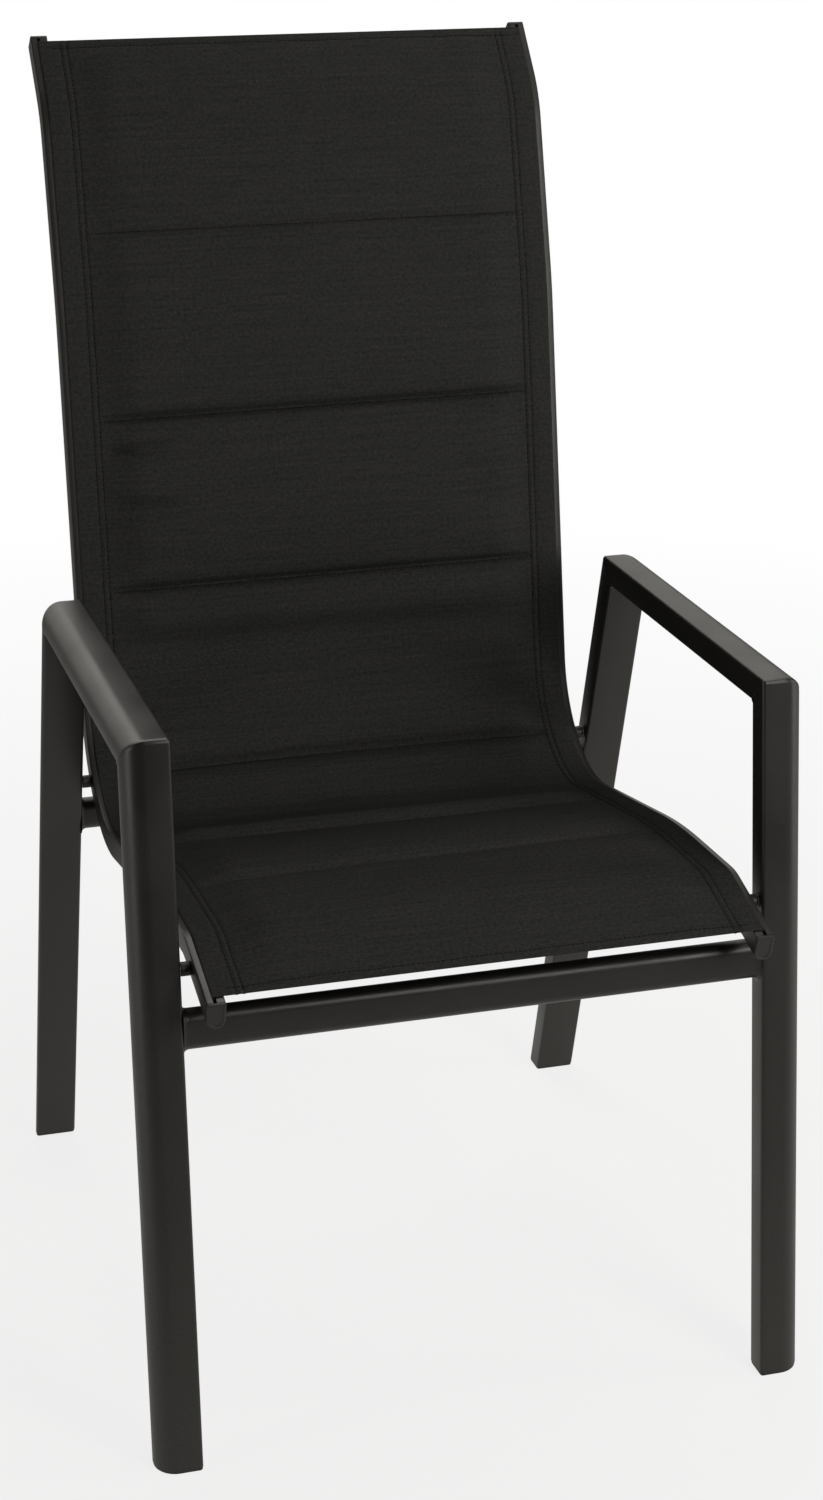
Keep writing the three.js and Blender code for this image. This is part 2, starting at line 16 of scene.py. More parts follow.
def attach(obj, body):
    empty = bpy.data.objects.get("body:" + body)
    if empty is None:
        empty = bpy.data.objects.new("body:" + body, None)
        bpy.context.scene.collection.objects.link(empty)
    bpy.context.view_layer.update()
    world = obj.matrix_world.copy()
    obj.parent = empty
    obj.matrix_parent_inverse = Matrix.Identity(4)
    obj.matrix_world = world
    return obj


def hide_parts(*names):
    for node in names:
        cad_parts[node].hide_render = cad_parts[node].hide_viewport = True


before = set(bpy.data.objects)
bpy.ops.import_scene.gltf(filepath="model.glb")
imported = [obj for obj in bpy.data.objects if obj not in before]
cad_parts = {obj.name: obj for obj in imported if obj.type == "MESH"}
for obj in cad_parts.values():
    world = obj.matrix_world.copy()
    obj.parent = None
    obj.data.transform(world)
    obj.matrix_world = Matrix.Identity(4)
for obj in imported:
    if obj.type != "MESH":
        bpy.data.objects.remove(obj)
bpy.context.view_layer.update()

# %% [markdown]
# The camera comes first, because every later choice is judged through it. The photograph was
# taken from the sitter's right, a little above the arms. Eye, turn, tilt and focal length were
# fitted to the chair's edges, and the picture was cropped off centre, so the lens gets a shift.

# %% Camera at the photograph's angle
PHOTO_WIDTH, PHOTO_HEIGHT = 823, 1500
eye = Vector((-0.67749, -2.40365, 1.44263))
turn_right, tilt_down, lean = (math.radians(v) for v in (16.703, 19.057, 0.293))
focal_pixels = 2873.06
optical_centre = (424.78, 666.73)

ahead = Vector((
    math.sin(turn_right) * math.cos(tilt_down),
    math.cos(turn_right) * math.cos(tilt_down),
    -math.sin(tilt_down),
))
level = Vector((math.cos(turn_right), -math.sin(turn_right), 0))
upright = level.cross(ahead)
image_right = math.cos(lean) * level + math.sin(lean) * upright
image_up = math.cos(lean) * upright - math.sin(lean) * level

lens = bpy.data.cameras.new("photo_lens")
lens.sensor_width = 36
lens.lens = focal_pixels * lens.sensor_width / PHOTO_HEIGHT
lens.shift_x = (PHOTO_WIDTH / 2 - optical_centre[0]) / PHOTO_HEIGHT
lens.shift_y = (optical_centre[1] - PHOTO_HEIGHT / 2) / PHOTO_HEIGHT
lens.clip_start = 0.05
lens.clip_end = 60
camera = bpy.data.objects.new("photo_camera", lens)
bpy.context.scene.collection.objects.link(camera)
camera.matrix_world = Matrix.Translation(eye) @ Matrix(
    (image_right, image_up, -ahead)
).transposed().to_4x4()
bpy.context.scene.camera = camera
bpy.context.scene.view_settings.view_transform = "Standard"
print("lens", round(lens.lens, 2), "mm, shift", round(lens.shift_x, 4), round(lens.shift_y, 4))

# %% [markdown]
# Materials are small graphs of nodes. Two helpers keep them readable: one turns the sRGB hex
# value that a paint chart gives into the linear numbers that light is added up in, and one adds
# a node with its settings and links. Patterns are measured in millimetres on the object itself,
# through Object coordinates, which here are the chair's own metres.

# %% Helpers for colours and nodes
MM = 0.001


def linear(hex_value):
    parts = [int(hex_value[i:i + 2], 16) / 255 for i in (1, 3, 5)]
    straight = [v / 12.92 if v <= 0.04045 else ((v + 0.055) / 1.055) ** 2.4 for v in parts]
    return (*straight, 1)


def add_node(tree, kind, inputs=None, **settings):
    made = tree.nodes.new(kind)
    for setting, value in settings.items():
        setattr(made, setting, value)
    for socket, value in (inputs or {}).items():
        if isinstance(value, bpy.types.NodeSocket):
            tree.links.new(value, made.inputs[socket])
        else:
            made.inputs[socket].default_value = value
    return made


def start_material(name):
    material = bpy.data.materials.new(name)
    material.use_nodes = True
    tree = material.node_tree
    return material, tree, tree.nodes["Principled BSDF"]


def two_tone(tree, factor, dark, light):
    ramp = add_node(tree, "ShaderNodeValToRGB", {"Fac": factor})
    ramp.color_ramp.elements[0].position = 0.3
    ramp.color_ramp.elements[0].color = linear(dark)
    ramp.color_ramp.elements[1].position = 0.7
    ramp.color_ramp.elements[1].color = linear(light)
    return ramp.outputs["Color"]


print("charcoal in linear light:", [round(v, 4) for v in linear("#2b2a28")])

# %% [markdown]
# The frame is aluminium tube with a black polyester powder coat, sprayed as dust and baked. It
# is a plastic skin about 0.08 mm thick, so it shines as a plastic does (IOR 1.5, not metallic)
# over a satin surface. Baking leaves an orange peel of soft dimples about 1 mm across. They stand
# in the bump, and as a mottle of painted shade and painted light in the colour, because each one
# holds a little shade. The coat draws thin on edges, and the edges are painted lighter, partly
# for that and partly as a painted highlight. A slow cloudiness of a few centimetres keeps long
# tubes from looking like one flat colour.

# %% Powder-coated aluminium
PEEL_SIZE, PEEL_DEPTH = 1.1, 0.08


def powder_coated_aluminium():
    material, tree, shader = start_material("powder_coated_aluminium")
    place = add_node(tree, "ShaderNodeTexCoord").outputs["Object"]
    cloud = add_node(tree, "ShaderNodeTexNoise", {"Vector": place, "Scale": 14, "Detail": 3})
    coat = two_tone(tree, cloud.outputs["Fac"], "#151412", "#1c1b18")
    edge_pointiness = add_node(tree, "ShaderNodeNewGeometry").outputs["Pointiness"]
    # Edges, found by their pointiness, are painted lighter: partly a thinner coat, partly a painted
    # highlight.
    thin_coat_and_painted_highlight = add_node(tree, "ShaderNodeMapRange", {
        "Value": edge_pointiness, "From Min": 0.53, "From Max": 0.62, "To Min": 0, "To Max": 0.35,
    })
    shade = add_node(tree, "ShaderNodeMixRGB", {
        "Fac": thin_coat_and_painted_highlight.outputs["Result"], "Color1": coat, "Color2": linear("#3a3936"),
    })
    peel = add_node(tree, "ShaderNodeTexNoise", {
        "Vector": place, "Scale": 1 / (PEEL_SIZE * MM), "Detail": 2, "Roughness": 0.6,
    })
    # The peel's dimples also go into the colour as painted shade and painted light, 0.5 to 1.5
    # times the coat.
    painted_dimple_shade = add_node(tree, "ShaderNodeMapRange", {
        "Value": peel.outputs["Fac"], "From Min": 0.3, "From Max": 0.7,
        "To Min": 0.5, "To Max": 1.5,
    })
    shade = add_node(tree, "ShaderNodeVectorMath", {
        0: shade.outputs["Color"], 1: painted_dimple_shade.outputs["Result"],
    }, operation="MULTIPLY")
    grain = add_node(tree, "ShaderNodeBump", {
        "Height": peel.outputs["Fac"], "Strength": 0.6, "Distance": PEEL_DEPTH * MM,
    })
    satin = add_node(tree, "ShaderNodeMapRange", {
        "Value": cloud.outputs["Fac"], "From Min": 0.3, "From Max": 0.7,
        "To Min": 0.37, "To Max": 0.45,
    })
    tree.links.new(shade.outputs["Vector"], shader.inputs["Base Color"])
    tree.links.new(grain.outputs["Normal"], shader.inputs["Normal"])
    tree.links.new(satin.outputs["Result"], shader.inputs["Roughness"])
    shader.inputs["IOR"].default_value = 1.5
    shader.inputs["Specular IOR Level"].default_value = 0.5
    return material


frame_coat = powder_coated_aluminium()
print("frame finish:", frame_coat.name)

# %% [markdown]
# Caps, glides and spacers are polypropylene, injection moulded in a spark-eroded mould. That
# gives the eye a matte, faintly pebbled black with no metal under it.

# %% Moulded polypropylene
PEBBLE_SIZE, PEBBLE_DEPTH = 0.7, 0.05


def moulded_polypropylene():
    material, tree, shader = start_material("moulded_polypropylene")
    place = add_node(tree, "ShaderNodeTexCoord").outputs["Object"]
    pebble = add_node(tree, "ShaderNodeTexNoise", {
        "Vector": place, "Scale": 1 / (PEBBLE_SIZE * MM), "Detail": 3,
    })
    flow = add_node(tree, "ShaderNodeTexNoise", {"Vector": place, "Scale": 60, "Detail": 1})
    grain = add_node(tree, "ShaderNodeBump", {
        "Height": pebble.outputs["Fac"], "Strength": 0.35, "Distance": PEBBLE_DEPTH * MM,
    })
    black = two_tone(tree, flow.outputs["Fac"], "#171716", "#1f1e1c")
    tree.links.new(black, shader.inputs["Base Color"])
    tree.links.new(grain.outputs["Normal"], shader.inputs["Normal"])
    shader.inputs["Roughness"].default_value = 0.5
    shader.inputs["IOR"].default_value = 1.49
    return material


cap_plastic = moulded_polypropylene()
print("plastic finish:", cap_plastic.name)

# %% [markdown]
# Bolts and rivet nuts are steel with a clear zinc plating: a metal, so its colour is in the
# reflection and its IOR stays at the default. Tumbling in the plating drum leaves it a soft grey
# with fine turning marks round the head.

# %% Zinc-plated steel
def zinc_plated_steel():
    material, tree, shader = start_material("zinc_plated_steel")
    place = add_node(tree, "ShaderNodeTexCoord").outputs["Object"]
    bloom = add_node(tree, "ShaderNodeTexNoise", {"Vector": place, "Scale": 350, "Detail": 4})
    zinc = two_tone(tree, bloom.outputs["Fac"], "#8b8d90", "#adafb1")
    polish = add_node(tree, "ShaderNodeMapRange", {
        "Value": bloom.outputs["Fac"], "To Min": 0.28, "To Max": 0.45,
    })
    tree.links.new(zinc, shader.inputs["Base Color"])
    tree.links.new(polish.outputs["Result"], shader.inputs["Roughness"])
    shader.inputs["Metallic"].default_value = 1
    return material


fixing_steel = zinc_plated_steel()
print("fixing finish:", fixing_steel.name)

# %% [markdown]
# The sling is polyester yarn in a PVC skin, woven into a mesh and quilted over a thin pad. Real
# yarns are 1 mm apart, finer than a pixel of the photograph, so the weave here is drawn at
# 2.2 mm. Warp runs along the sling and weft across it, and their product makes a basket of
# small squares. The cloth's own coordinates, in metres across and along, come from the UV map
# that its mesh keeps. Yarn batches differ a little, which shows as faint streaks across, about
# 110 mm long and 2.4 mm apart. Slubs, thick places in the yarn a few millimetres long, break up
# the grid. So open a weave throws no highlight, and its specular level is nought.

# %% Coated polyester mesh
YARN_PITCH, YARN_RELIEF, SLUB_SIZE = 2.2, 0.25, 3.2
STREAKS_PER_METRE = (9, 420, 1)


def coated_polyester_mesh():
    material, tree, shader = start_material("coated_polyester_mesh")
    cloth = add_node(tree, "ShaderNodeUVMap", uv_map="cloth").outputs["UV"]
    split = add_node(tree, "ShaderNodeSeparateXYZ", {"Vector": cloth})
    waves = []
    for axis in ("X", "Y"):
        turns = add_node(tree, "ShaderNodeMath", {
            0: split.outputs[axis], 1: 2 * math.pi / (YARN_PITCH * MM),
        }, operation="MULTIPLY")
        waves.append(add_node(tree, "ShaderNodeMath", {0: turns.outputs[0]}, operation="SINE"))
    basket = add_node(tree, "ShaderNodeMath", {
        0: waves[0].outputs[0], 1: waves[1].outputs[0],
    }, operation="MULTIPLY")
    yarn = add_node(tree, "ShaderNodeMapRange", {
        "Value": basket.outputs[0], "From Min": -1, "From Max": 1,
    })
    stretched = add_node(tree, "ShaderNodeMapping", {
        "Vector": cloth, "Scale": STREAKS_PER_METRE,
    })
    streaks = add_node(tree, "ShaderNodeTexNoise", {
        "Vector": stretched.outputs["Vector"], "Scale": 1, "Detail": 3,
    })
    yarn_tone = two_tone(tree, yarn.outputs["Result"], "#1c1d1c", "#454544")
    streak_tone = two_tone(tree, streaks.outputs["Fac"], "#30312f", "#3e3e3c")
    tone = add_node(tree, "ShaderNodeMixRGB", {
        "Fac": 0.5, "Color1": yarn_tone, "Color2": streak_tone,
    })
    slub = add_node(tree, "ShaderNodeTexNoise", {
        "Vector": cloth, "Scale": 1 / (SLUB_SIZE * MM), "Detail": 4, "Roughness": 0.75,
    })
    uneven = add_node(tree, "ShaderNodeMapRange", {
        "Value": slub.outputs["Fac"], "From Min": 0.3, "From Max": 0.7,
        "To Min": 0.65, "To Max": 1.35,
    })
    tone = add_node(tree, "ShaderNodeVectorMath", {
        0: tone.outputs["Color"], 1: uneven.outputs["Result"],
    }, operation="MULTIPLY")
    relief = add_node(tree, "ShaderNodeBump", {
        "Height": yarn.outputs["Result"], "Strength": 0.5, "Distance": YARN_RELIEF * MM,
    })
    tree.links.new(tone.outputs["Vector"], shader.inputs["Base Color"])
    tree.links.new(relief.outputs["Normal"], shader.inputs["Normal"])
    shader.inputs["Roughness"].default_value = 0.9
    shader.inputs["IOR"].default_value = 1.45
    shader.inputs["Specular IOR Level"].default_value = 0.0
    return material


sling_mesh = coated_polyester_mesh()
print("sling finish:", sling_mesh.name, "yarn pitch", YARN_PITCH, "mm")

# %% [markdown]
# The seams are sewn with polyester thread, its plies twisted and bonded together. It is a dull
# black, darker than the cloth, so that a row of stitches reads as a fine dark line. The twist is
# a wave with 0.45 mm from crest to crest, the lay of a thick thread.

# %% Bonded polyester thread
def bonded_polyester_thread():
    material, tree, shader = start_material("bonded_polyester_thread")
    place = add_node(tree, "ShaderNodeTexCoord").outputs["Object"]
    twist = add_node(tree, "ShaderNodeTexWave", {"Vector": place, "Scale": 700, "Distortion": 1})
    tone = two_tone(tree, twist.outputs["Fac"], "#0c0c0c", "#1a1a18")
    tree.links.new(tone, shader.inputs["Base Color"])
    shader.inputs["Roughness"].default_value = 0.8
    shader.inputs["Specular IOR Level"].default_value = 0.1
    return material


thread = bonded_polyester_thread()
print("seam finish:", thread.name)

# %% [markdown]
# Every rigid piece on this chair is an outline carried along a path, so three helpers do nearly
# all the modelling: round an outline's corners, lay faces between rings of points, and turn the
# points into an object that rides on the chair. Each mesh is shaded smooth, with sharp edges
# only where faces meet steeply.

# %% Helpers for outlines and meshes
def arc(x, y, radius, start, stop, steps):
    angles = np.radians(np.linspace(start, stop, steps + 1))
    return np.stack([x + radius * np.cos(angles), y + radius * np.sin(angles)], 1)


def ring_faces(ring_count, size, closed=False):
    faces = []
    for i in range(ring_count if closed else ring_count - 1):
        low, high = i * size, ((i + 1) % ring_count) * size
        faces += [
            (low + k, low + (k + 1) % size, high + (k + 1) % size, high + k) for k in range(size)
        ]
    if not closed:
        faces += [tuple(range(size)), tuple(range((ring_count - 1) * size, ring_count * size))]
    return faces


def make_piece(name, points, faces, finish, stands_for=(), crease=32):
    mesh = bpy.data.meshes.new(name)
    mesh.from_pydata((np.asarray(points, float).reshape(-1, 3) * MM).tolist(), [], faces)
    shell = bmesh.new()
    shell.from_mesh(mesh)
    bmesh.ops.recalc_face_normals(shell, faces=shell.faces)
    shell.to_mesh(mesh)
    shell.free()
    mesh.shade_smooth()
    mesh.set_sharp_from_angle(angle=math.radians(crease))
    mesh.materials.append(finish)
    piece = bpy.data.objects.new(name, mesh)
    bpy.context.scene.collection.objects.link(piece)
    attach(piece, "root")
    if stands_for:
        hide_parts(*stands_for)
    return piece


SIDES = {"left": -1, "right": 1}

# %% [markdown]
# Each side frame is one loop of 40 x 25 mm tube: front leg, arm, rear leg, mitred and welded.
# The tube has one big round corner on its outer top edge and three small ones. A strand is one
# point of that outline followed round the loop, and where two tubes meet, each strand turns on a
# small arc: 4 mm on the outside, ground smooth, and 5.5 mm on the inside, where the weld fills
# the corner. Close to the joint the strands also rise 0.3 mm, which makes the dressed weld that
# catches the light. The legs end 0.3 mm over their glides.

# %% The loop and its tube section
FOOT_Y = -356.425
LOOP = np.array([(0, 0), (65, 640), (462, 635), (651, 0)], float) + (FOOT_Y, 0)
TUBE_WIDTH, TUBE_DEPTH, TUBE_WALL = 40, 25, 2
CREST, CORNER, LEAST_CORNER = 20, 3, 0.9
HALF_WIDTH = 295
INNER_FACE = HALF_WIDTH - TUBE_WIDTH


def tube_section(inset=0.0):
    small = max(CORNER - inset, LEAST_CORNER)
    near, far, deep = inset + small, TUBE_WIDTH - inset - small, TUBE_DEPTH - inset - small
    return np.concatenate([
        arc(CREST, CREST, CREST - inset, 180, 270, 18),
        arc(far, near, small, 270, 360, 5),
        arc(far, deep, small, 0, 90, 5),
        arc(near, deep, small, 90, 180, 5),
    ])


def outward_normals(outline):
    along = np.roll(outline, -1, 0) - np.roll(outline, 1, 0)
    normals = np.stack([along[:, 1], -along[:, 0]], 1)
    return normals / np.linalg.norm(normals, axis=1)[:, None]


def unit(vector):
    return vector / np.linalg.norm(vector)


print("tube section points:", len(tube_section()))

# %% Strands of one tube, from one cut to the other
OUTER_BEND, INNER_BEND, WELD_RISE, WELD_REACH = 4.0, 5.5, 0.3, 4
BEND_STEPS, LEAD_IN = 9, 1.5
FIT_GAP, GLIDE_THICKNESS = 0.3, 3.0


def mitre_rings(outline, normals, corner, run, inward, turn, weld):
    rings = []
    for step in range(BEND_STEPS + 1):
        rise = weld * max(0, 1 - ((BEND_STEPS - step) / WELD_REACH) ** 2)
        spots = outline + rise * normals
        depth = spots[:, 1]
        radius = OUTER_BEND + (INNER_BEND - OUTER_BEND) * np.clip(depth / TUBE_DEPTH, 0, 1)
        sweep = turn / 2 * step / BEND_STEPS
        back = depth * math.tan(turn / 2) + radius * (math.tan(turn / 2) - math.sin(sweep))
        inside = depth + radius * (1 - math.cos(sweep))
        flat = corner - back[:, None] * run + inside[:, None] * inward
        rings.append((spots[:, 0], flat))
    first = rings[0]
    return [(first[0], first[1] - LEAD_IN * run)] + rings


def floor_ring(outline, start, run, inward, height):
    strand = start + outline[:, 1:2] * inward
    along = (height - strand[:, 1:2]) / run[1]
    return (outline[:, 0], strand + along * run)


def tube_rings(member, inset, weld):
    outline = tube_section(inset)
    normals = outward_normals(outline)
    start, stop = LOOP[member], LOOP[member + 1]
    run = unit(stop - start)
    inward = np.array([run[1], -run[0]])
    cut = floor_ring(outline, start, run, inward, GLIDE_THICKNESS + FIT_GAP)
    rings = []
    if member == 0:
        rings.append(cut)
    else:
        before = unit(start - LOOP[member - 1])
        turn = math.acos(before @ run)
        rings += mitre_rings(outline, normals, start, -run, inward, turn, weld)[::-1]
    if member == 2:
        rings.append(cut)
    else:
        after = unit(LOOP[member + 2] - stop)
        turn = math.acos(run @ after)
        rings += mitre_rings(outline, normals, stop, run, inward, turn, weld)
    return rings


def side_tube(side, member):
    rings = tube_rings(member, 0, WELD_RISE) + tube_rings(member, TUBE_WALL, 0)[::-1]
    points = [
        np.column_stack([side * (HALF_WIDTH - across), flat]) for across, flat in rings
    ]
    return np.concatenate(points), ring_faces(len(rings), len(rings[0][0]), closed=True)


for word, side in SIDES.items():
    for member, part in enumerate(("front_leg", "arm", "rear_leg")):
        points, faces = side_tube(side, member)
        tube = make_piece(f"{word}_{part}_tube", points, faces, frame_coat,
                          [f"{word}_{part}"])
        print(tube.name, len(tube.data.vertices), "points")

# %% [markdown]
# The sling rails are bent extrusions with a flat front face and a round back. Their route is a
# chain of straight runs and arcs, the same one that the CAD follows: over the knee, down the
# seat, up the back, and back over at the head. It is stored as a table of places by distance
# travelled, so that the rail, its caps, the sling and every seam can all be placed on it.

# %% The rail's route
RAIL_START = (-360.177, 437.505)
RUNS = [
    # straight length, heading in degrees, radius of the bend that follows
    (80, 15.5, 60), (75, -2.5, 600), (159, -10.5, 110),
    (344, 80.5, 500), (137, 74.5, 110), (55, 49, 0),
]


def walk_route(step_degrees=1.5):
    y, z = RAIL_START
    travelled = 0.0
    table = [(travelled, y, z, math.radians(RUNS[0][1]))]
    for i, (length, heading, radius) in enumerate(RUNS):
        angle = math.radians(heading)
        y += length * math.cos(angle)
        z += length * math.sin(angle)
        travelled += length
        table.append((travelled, y, z, angle))
        if i + 1 == len(RUNS):
            break
        turn = math.radians(RUNS[i + 1][1]) - angle
        steps = math.ceil(abs(math.degrees(turn)) / step_degrees)
        for k in range(steps):
            part = turn / steps
            middle = angle + part * (k + 0.5)
            chord = 2 * radius * math.sin(abs(part) / 2)
            y += chord * math.cos(middle)
            z += chord * math.sin(middle)
            travelled += radius * abs(part)
            table.append((travelled, y, z, angle + part * (k + 1)))
    return np.array(table)


ROUTE = walk_route()
RAIL_LENGTH = ROUTE[-1, 0]


def on_route(travelled, height):
    """Places at a distance along the rail and a height above its front face."""
    y, z, angle = (np.interp(travelled, ROUTE[:, 0], ROUTE[:, k]) for k in (1, 2, 3))
    beyond = travelled - np.clip(travelled, 0, RAIL_LENGTH)
    y = y + beyond * np.cos(angle) - height * np.sin(angle)
    z = z + beyond * np.sin(angle) + height * np.cos(angle)
    return y, z


# %% Rail section with its keyhole groove
RAIL_OUTER, RAIL_WIDTH, RAIL_DEPTH, RAIL_EDGE = 245, 16, 25, 1.2
RAIL_INNER = RAIL_OUTER - RAIL_WIDTH
KEY_X, KEY_SLOT, KEY_LIP, KEY_RADIUS, KEY_BEVEL = 7.3, 2.6, 1.8, 2.8, 0.35
LEAST_RAIL_EDGE = 0.4
KEY_Y = -KEY_LIP - math.sqrt(KEY_RADIUS ** 2 - (KEY_SLOT / 2) ** 2)


def rail_section(inset=0.0, grooved=True):
    radius = RAIL_WIDTH / 2
    edge = max(RAIL_EDGE - inset, LEAST_RAIL_EDGE)
    reach = inset + edge
    opening = math.degrees(math.asin((-KEY_LIP - KEY_Y) / KEY_RADIUS))
    right, left = KEY_X + KEY_SLOT / 2, KEY_X - KEY_SLOT / 2
    groove = [
        np.array([(right + KEY_BEVEL, 0), (right, -KEY_BEVEL)]),
        arc(KEY_X, KEY_Y, KEY_RADIUS, opening, -180 - opening, 12),
        np.array([(left, -KEY_BEVEL), (left - KEY_BEVEL, 0)]),
    ] if grooved else []
    return np.concatenate([
        arc(radius, radius - RAIL_DEPTH, radius - inset, 180, 360, 20),
        arc(RAIL_WIDTH - reach, -reach, edge, 0, 90, 3),
        *groove,
        arc(reach, -reach, edge, 90, 180, 3),
    ])


def along_route(side, outline, stations):
    rings = []
    for travelled in stations:
        y, z = on_route(np.full(len(outline), travelled), outline[:, 1])
        rings.append(np.column_stack([side * (RAIL_OUTER - outline[:, 0]), y, z]))
    return np.concatenate(rings)


stations = ROUTE[:, 0]
for word, side in SIDES.items():
    outline = rail_section()
    rail = make_piece(f"{word}_bent_rail", along_route(side, outline, stations),
                      ring_faces(len(stations), len(outline)), frame_coat,
                      [f"{word}_sling_rail"])
    print(rail.name, len(rail.data.vertices), "points")

# %% [markdown]
# A moulded cap closes each end of a rail. Seen from the front it has a raised rim that runs down
# both sides and round the bottom, about a slightly sunk face, and its edges are rounded. It is
# the rail's outline drawn at several insets, one after the other.

# %% Rail caps
CAP_STEPS = [
    # distance off the rail's end, inset from its outline
    (0.3, 0.35), (0.5, 0.05), (2.3, 0.0), (2.9, 0.25),
    (3.25, 0.8), (3.3, 1.5), (3.2, 2.2), (2.7, 2.6),
]


def rail_cap(side, at_top):
    end, sense = (RAIL_LENGTH, 1) if at_top else (0, -1)
    rings = [
        along_route(side, rail_section(inset, grooved=False), [end + sense * away])
        for away, inset in CAP_STEPS
    ]
    return np.concatenate(rings), ring_faces(len(rings), len(rings[0]))


for word, side in SIDES.items():
    for place, at_top in (("front", False), ("top", True)):
        points, faces = rail_cap(side, at_top)
        make_piece(f"{word}_{place}_cap", points, faces, cap_plastic,
                   [f"{word}_{place}_rail_cap"])
print("cap stands", max(away for away, inset in CAP_STEPS), "mm off the rail")

# %% [markdown]
# Flat oval tubes join the two side frames under the seat, and a smaller one holds the rails
# apart behind the back. Each cross rail is welded all round, so its last millimetres flare out to
# meet the leg: 5 mm above and below, where the leg is wide, and less in front and behind.

# %% Cross rails and the spreader bar
CROSS_REACH, SPREADER_REACH = INNER_FACE - 0.05, 225.4
SPREADER_TILT = math.radians(RUNS[4][1] - 90)
LEAST_FLARE, FLARE_STEP = 0.01, 9


def oval_section(height, depth, radius):
    top, side_reach = height / 2 - radius, depth / 2 - radius
    return np.concatenate([
        arc(side_reach, top, radius, 0, 90, 8),
        arc(-side_reach, top, radius, 90, 180, 8),
        arc(-side_reach, -top, radius, 180, 270, 8),
        arc(side_reach, -top, radius, 270, 360, 8),
    ])


def bar_rings(outline, reach, centre, tilt=0.0, flare=None):
    normals = outward_normals(outline)
    grow = np.zeros(len(outline))
    if flare is not None:
        grow = np.hypot(flare[0] * normals[:, 0], flare[1] * normals[:, 1])
    widest = max(float(grow.max()), LEAST_FLARE)
    aways = [0]
    if flare is not None:
        aways = [widest * (1 - math.cos(math.radians(a))) for a in range(0, 91, FLARE_STEP)]
    cosine, sine = math.cos(tilt), math.sin(tilt)
    rings = []
    for end in (-1, 1):
        places = aways if end < 0 else aways[::-1]
        for away in places:
            share = min(away / widest, 1)
            spread = grow * (1 - math.sqrt(max(0, 1 - (1 - share) ** 2)))
            spots = outline + spread[:, None] * normals
            y = centre[0] + spots[:, 0] * cosine - spots[:, 1] * sine
            z = centre[1] + spots[:, 0] * sine + spots[:, 1] * cosine
            rings.append(np.column_stack([np.full(len(y), end * (reach - away)), y, z]))
    return np.concatenate(rings), ring_faces(len(rings), len(outline))


BARS = [
    # CAD node, name, middle (y, z), height, depth, radius, half length, tilt, flare of the weld
    ("front_cross_rail", "front_cross", (-304.3, 390.0), 35, 20, 9, CROSS_REACH, 0.0, (2.0, 5.5)),
    ("rear_cross_rail", "rear_cross", (162.5, 400.0), 30, 20, 9, CROSS_REACH, 0.0, (2.0, 5.0)),
    ("back_spreader_bar", "back_spreader", (261.05, 904.95), 20, 12, 5,
     SPREADER_REACH, SPREADER_TILT, None),
]
for node, name, centre, height, depth, radius, reach, tilt, flare in BARS:
    points, faces = bar_rings(oval_section(height, depth, radius), reach, centre, tilt, flare)
    bar = make_piece(f"{name}_tube", points, faces, frame_coat, [node])

# %% [markdown]
# Glides keep the tube's cut edge off the floor. Each is a plate with a rounded lower edge and a
# plug up the tube. The stack of outlines leans with the leg, so each one is cut level.

# %% Foot glides
GLIDE_STACK = [
    # height over the floor, inset from the tube's outline
    (0, 2.2), (0.25, 1.2), (0.9, 0.55), (1.6, 0.4), (GLIDE_THICKNESS, 0.4),
    (GLIDE_THICKNESS + 0.05, 2.4), (20.0, 2.4), (21.0, 3.4),
]


def foot_glide(side, member):
    start, stop = LOOP[member], LOOP[member + 1]
    run = unit(stop - start)
    inward = np.array([run[1], -run[0]])
    rings = []
    for height, inset in GLIDE_STACK:
        across, flat = floor_ring(tube_section(inset), start, run, inward, height)
        rings.append(np.column_stack([side * (HALF_WIDTH - across), flat]))
    return np.concatenate(rings), ring_faces(len(rings), len(rings[0]))


for word, side in SIDES.items():
    for place, member in (("front", 0), ("rear", 2)):
        points, faces = foot_glide(side, member)
        make_piece(f"{word}_{place}_glide", points, faces, cap_plastic,
                   [f"{word}_{place}_foot_glide"])
print("glide plate", GLIDE_THICKNESS, "mm thick")

# %% [markdown]
# Four M6 button-head bolts hold the sling rails to the legs, each through a plastic spacer and
# into a rivet nut. All three are turned shapes: a profile of radius against distance along the
# bolt, spun round it. The head's hexagon socket is the same spinning with a six-sided radius.

# %% Bolts, spacers and rivet nuts
BOLT_SPOTS = {"front": (-299.0, 441.5), "rear": (151.6, 436.5)}
HEAD_SEAT = RAIL_INNER - FIT_GAP
# distance from the head's seat towards the chair's middle, radius
HEAD = [
    (-9.0, 0), (-9.0, 3.0), (0, 3.0), (0, 5.2), (0.3, 5.5),
    (1.2, 5.5), (2.3, 4.9), (3.0, 3.9), (3.3, 3.0), (3.3, 2.3),
]
SOCKET = [(3.3, 2.25), (1.3, 2.2), (1.2, 0)]
# distance from the chair's middle, radius
SPACER = [(245.3, 3.3), (245.3, 5.6), (245.7, 6.0), (253.0, 6.0), (253.4, 5.6), (253.4, 3.3)]
NUT = [
    (253.75, 3.3), (253.75, 5.7), (254.0, 6.0), (254.7, 6.0),
    (254.7, 4.5), (267.7, 4.5), (267.7, 3.3),
]
LEAST_RADIUS = 0.02


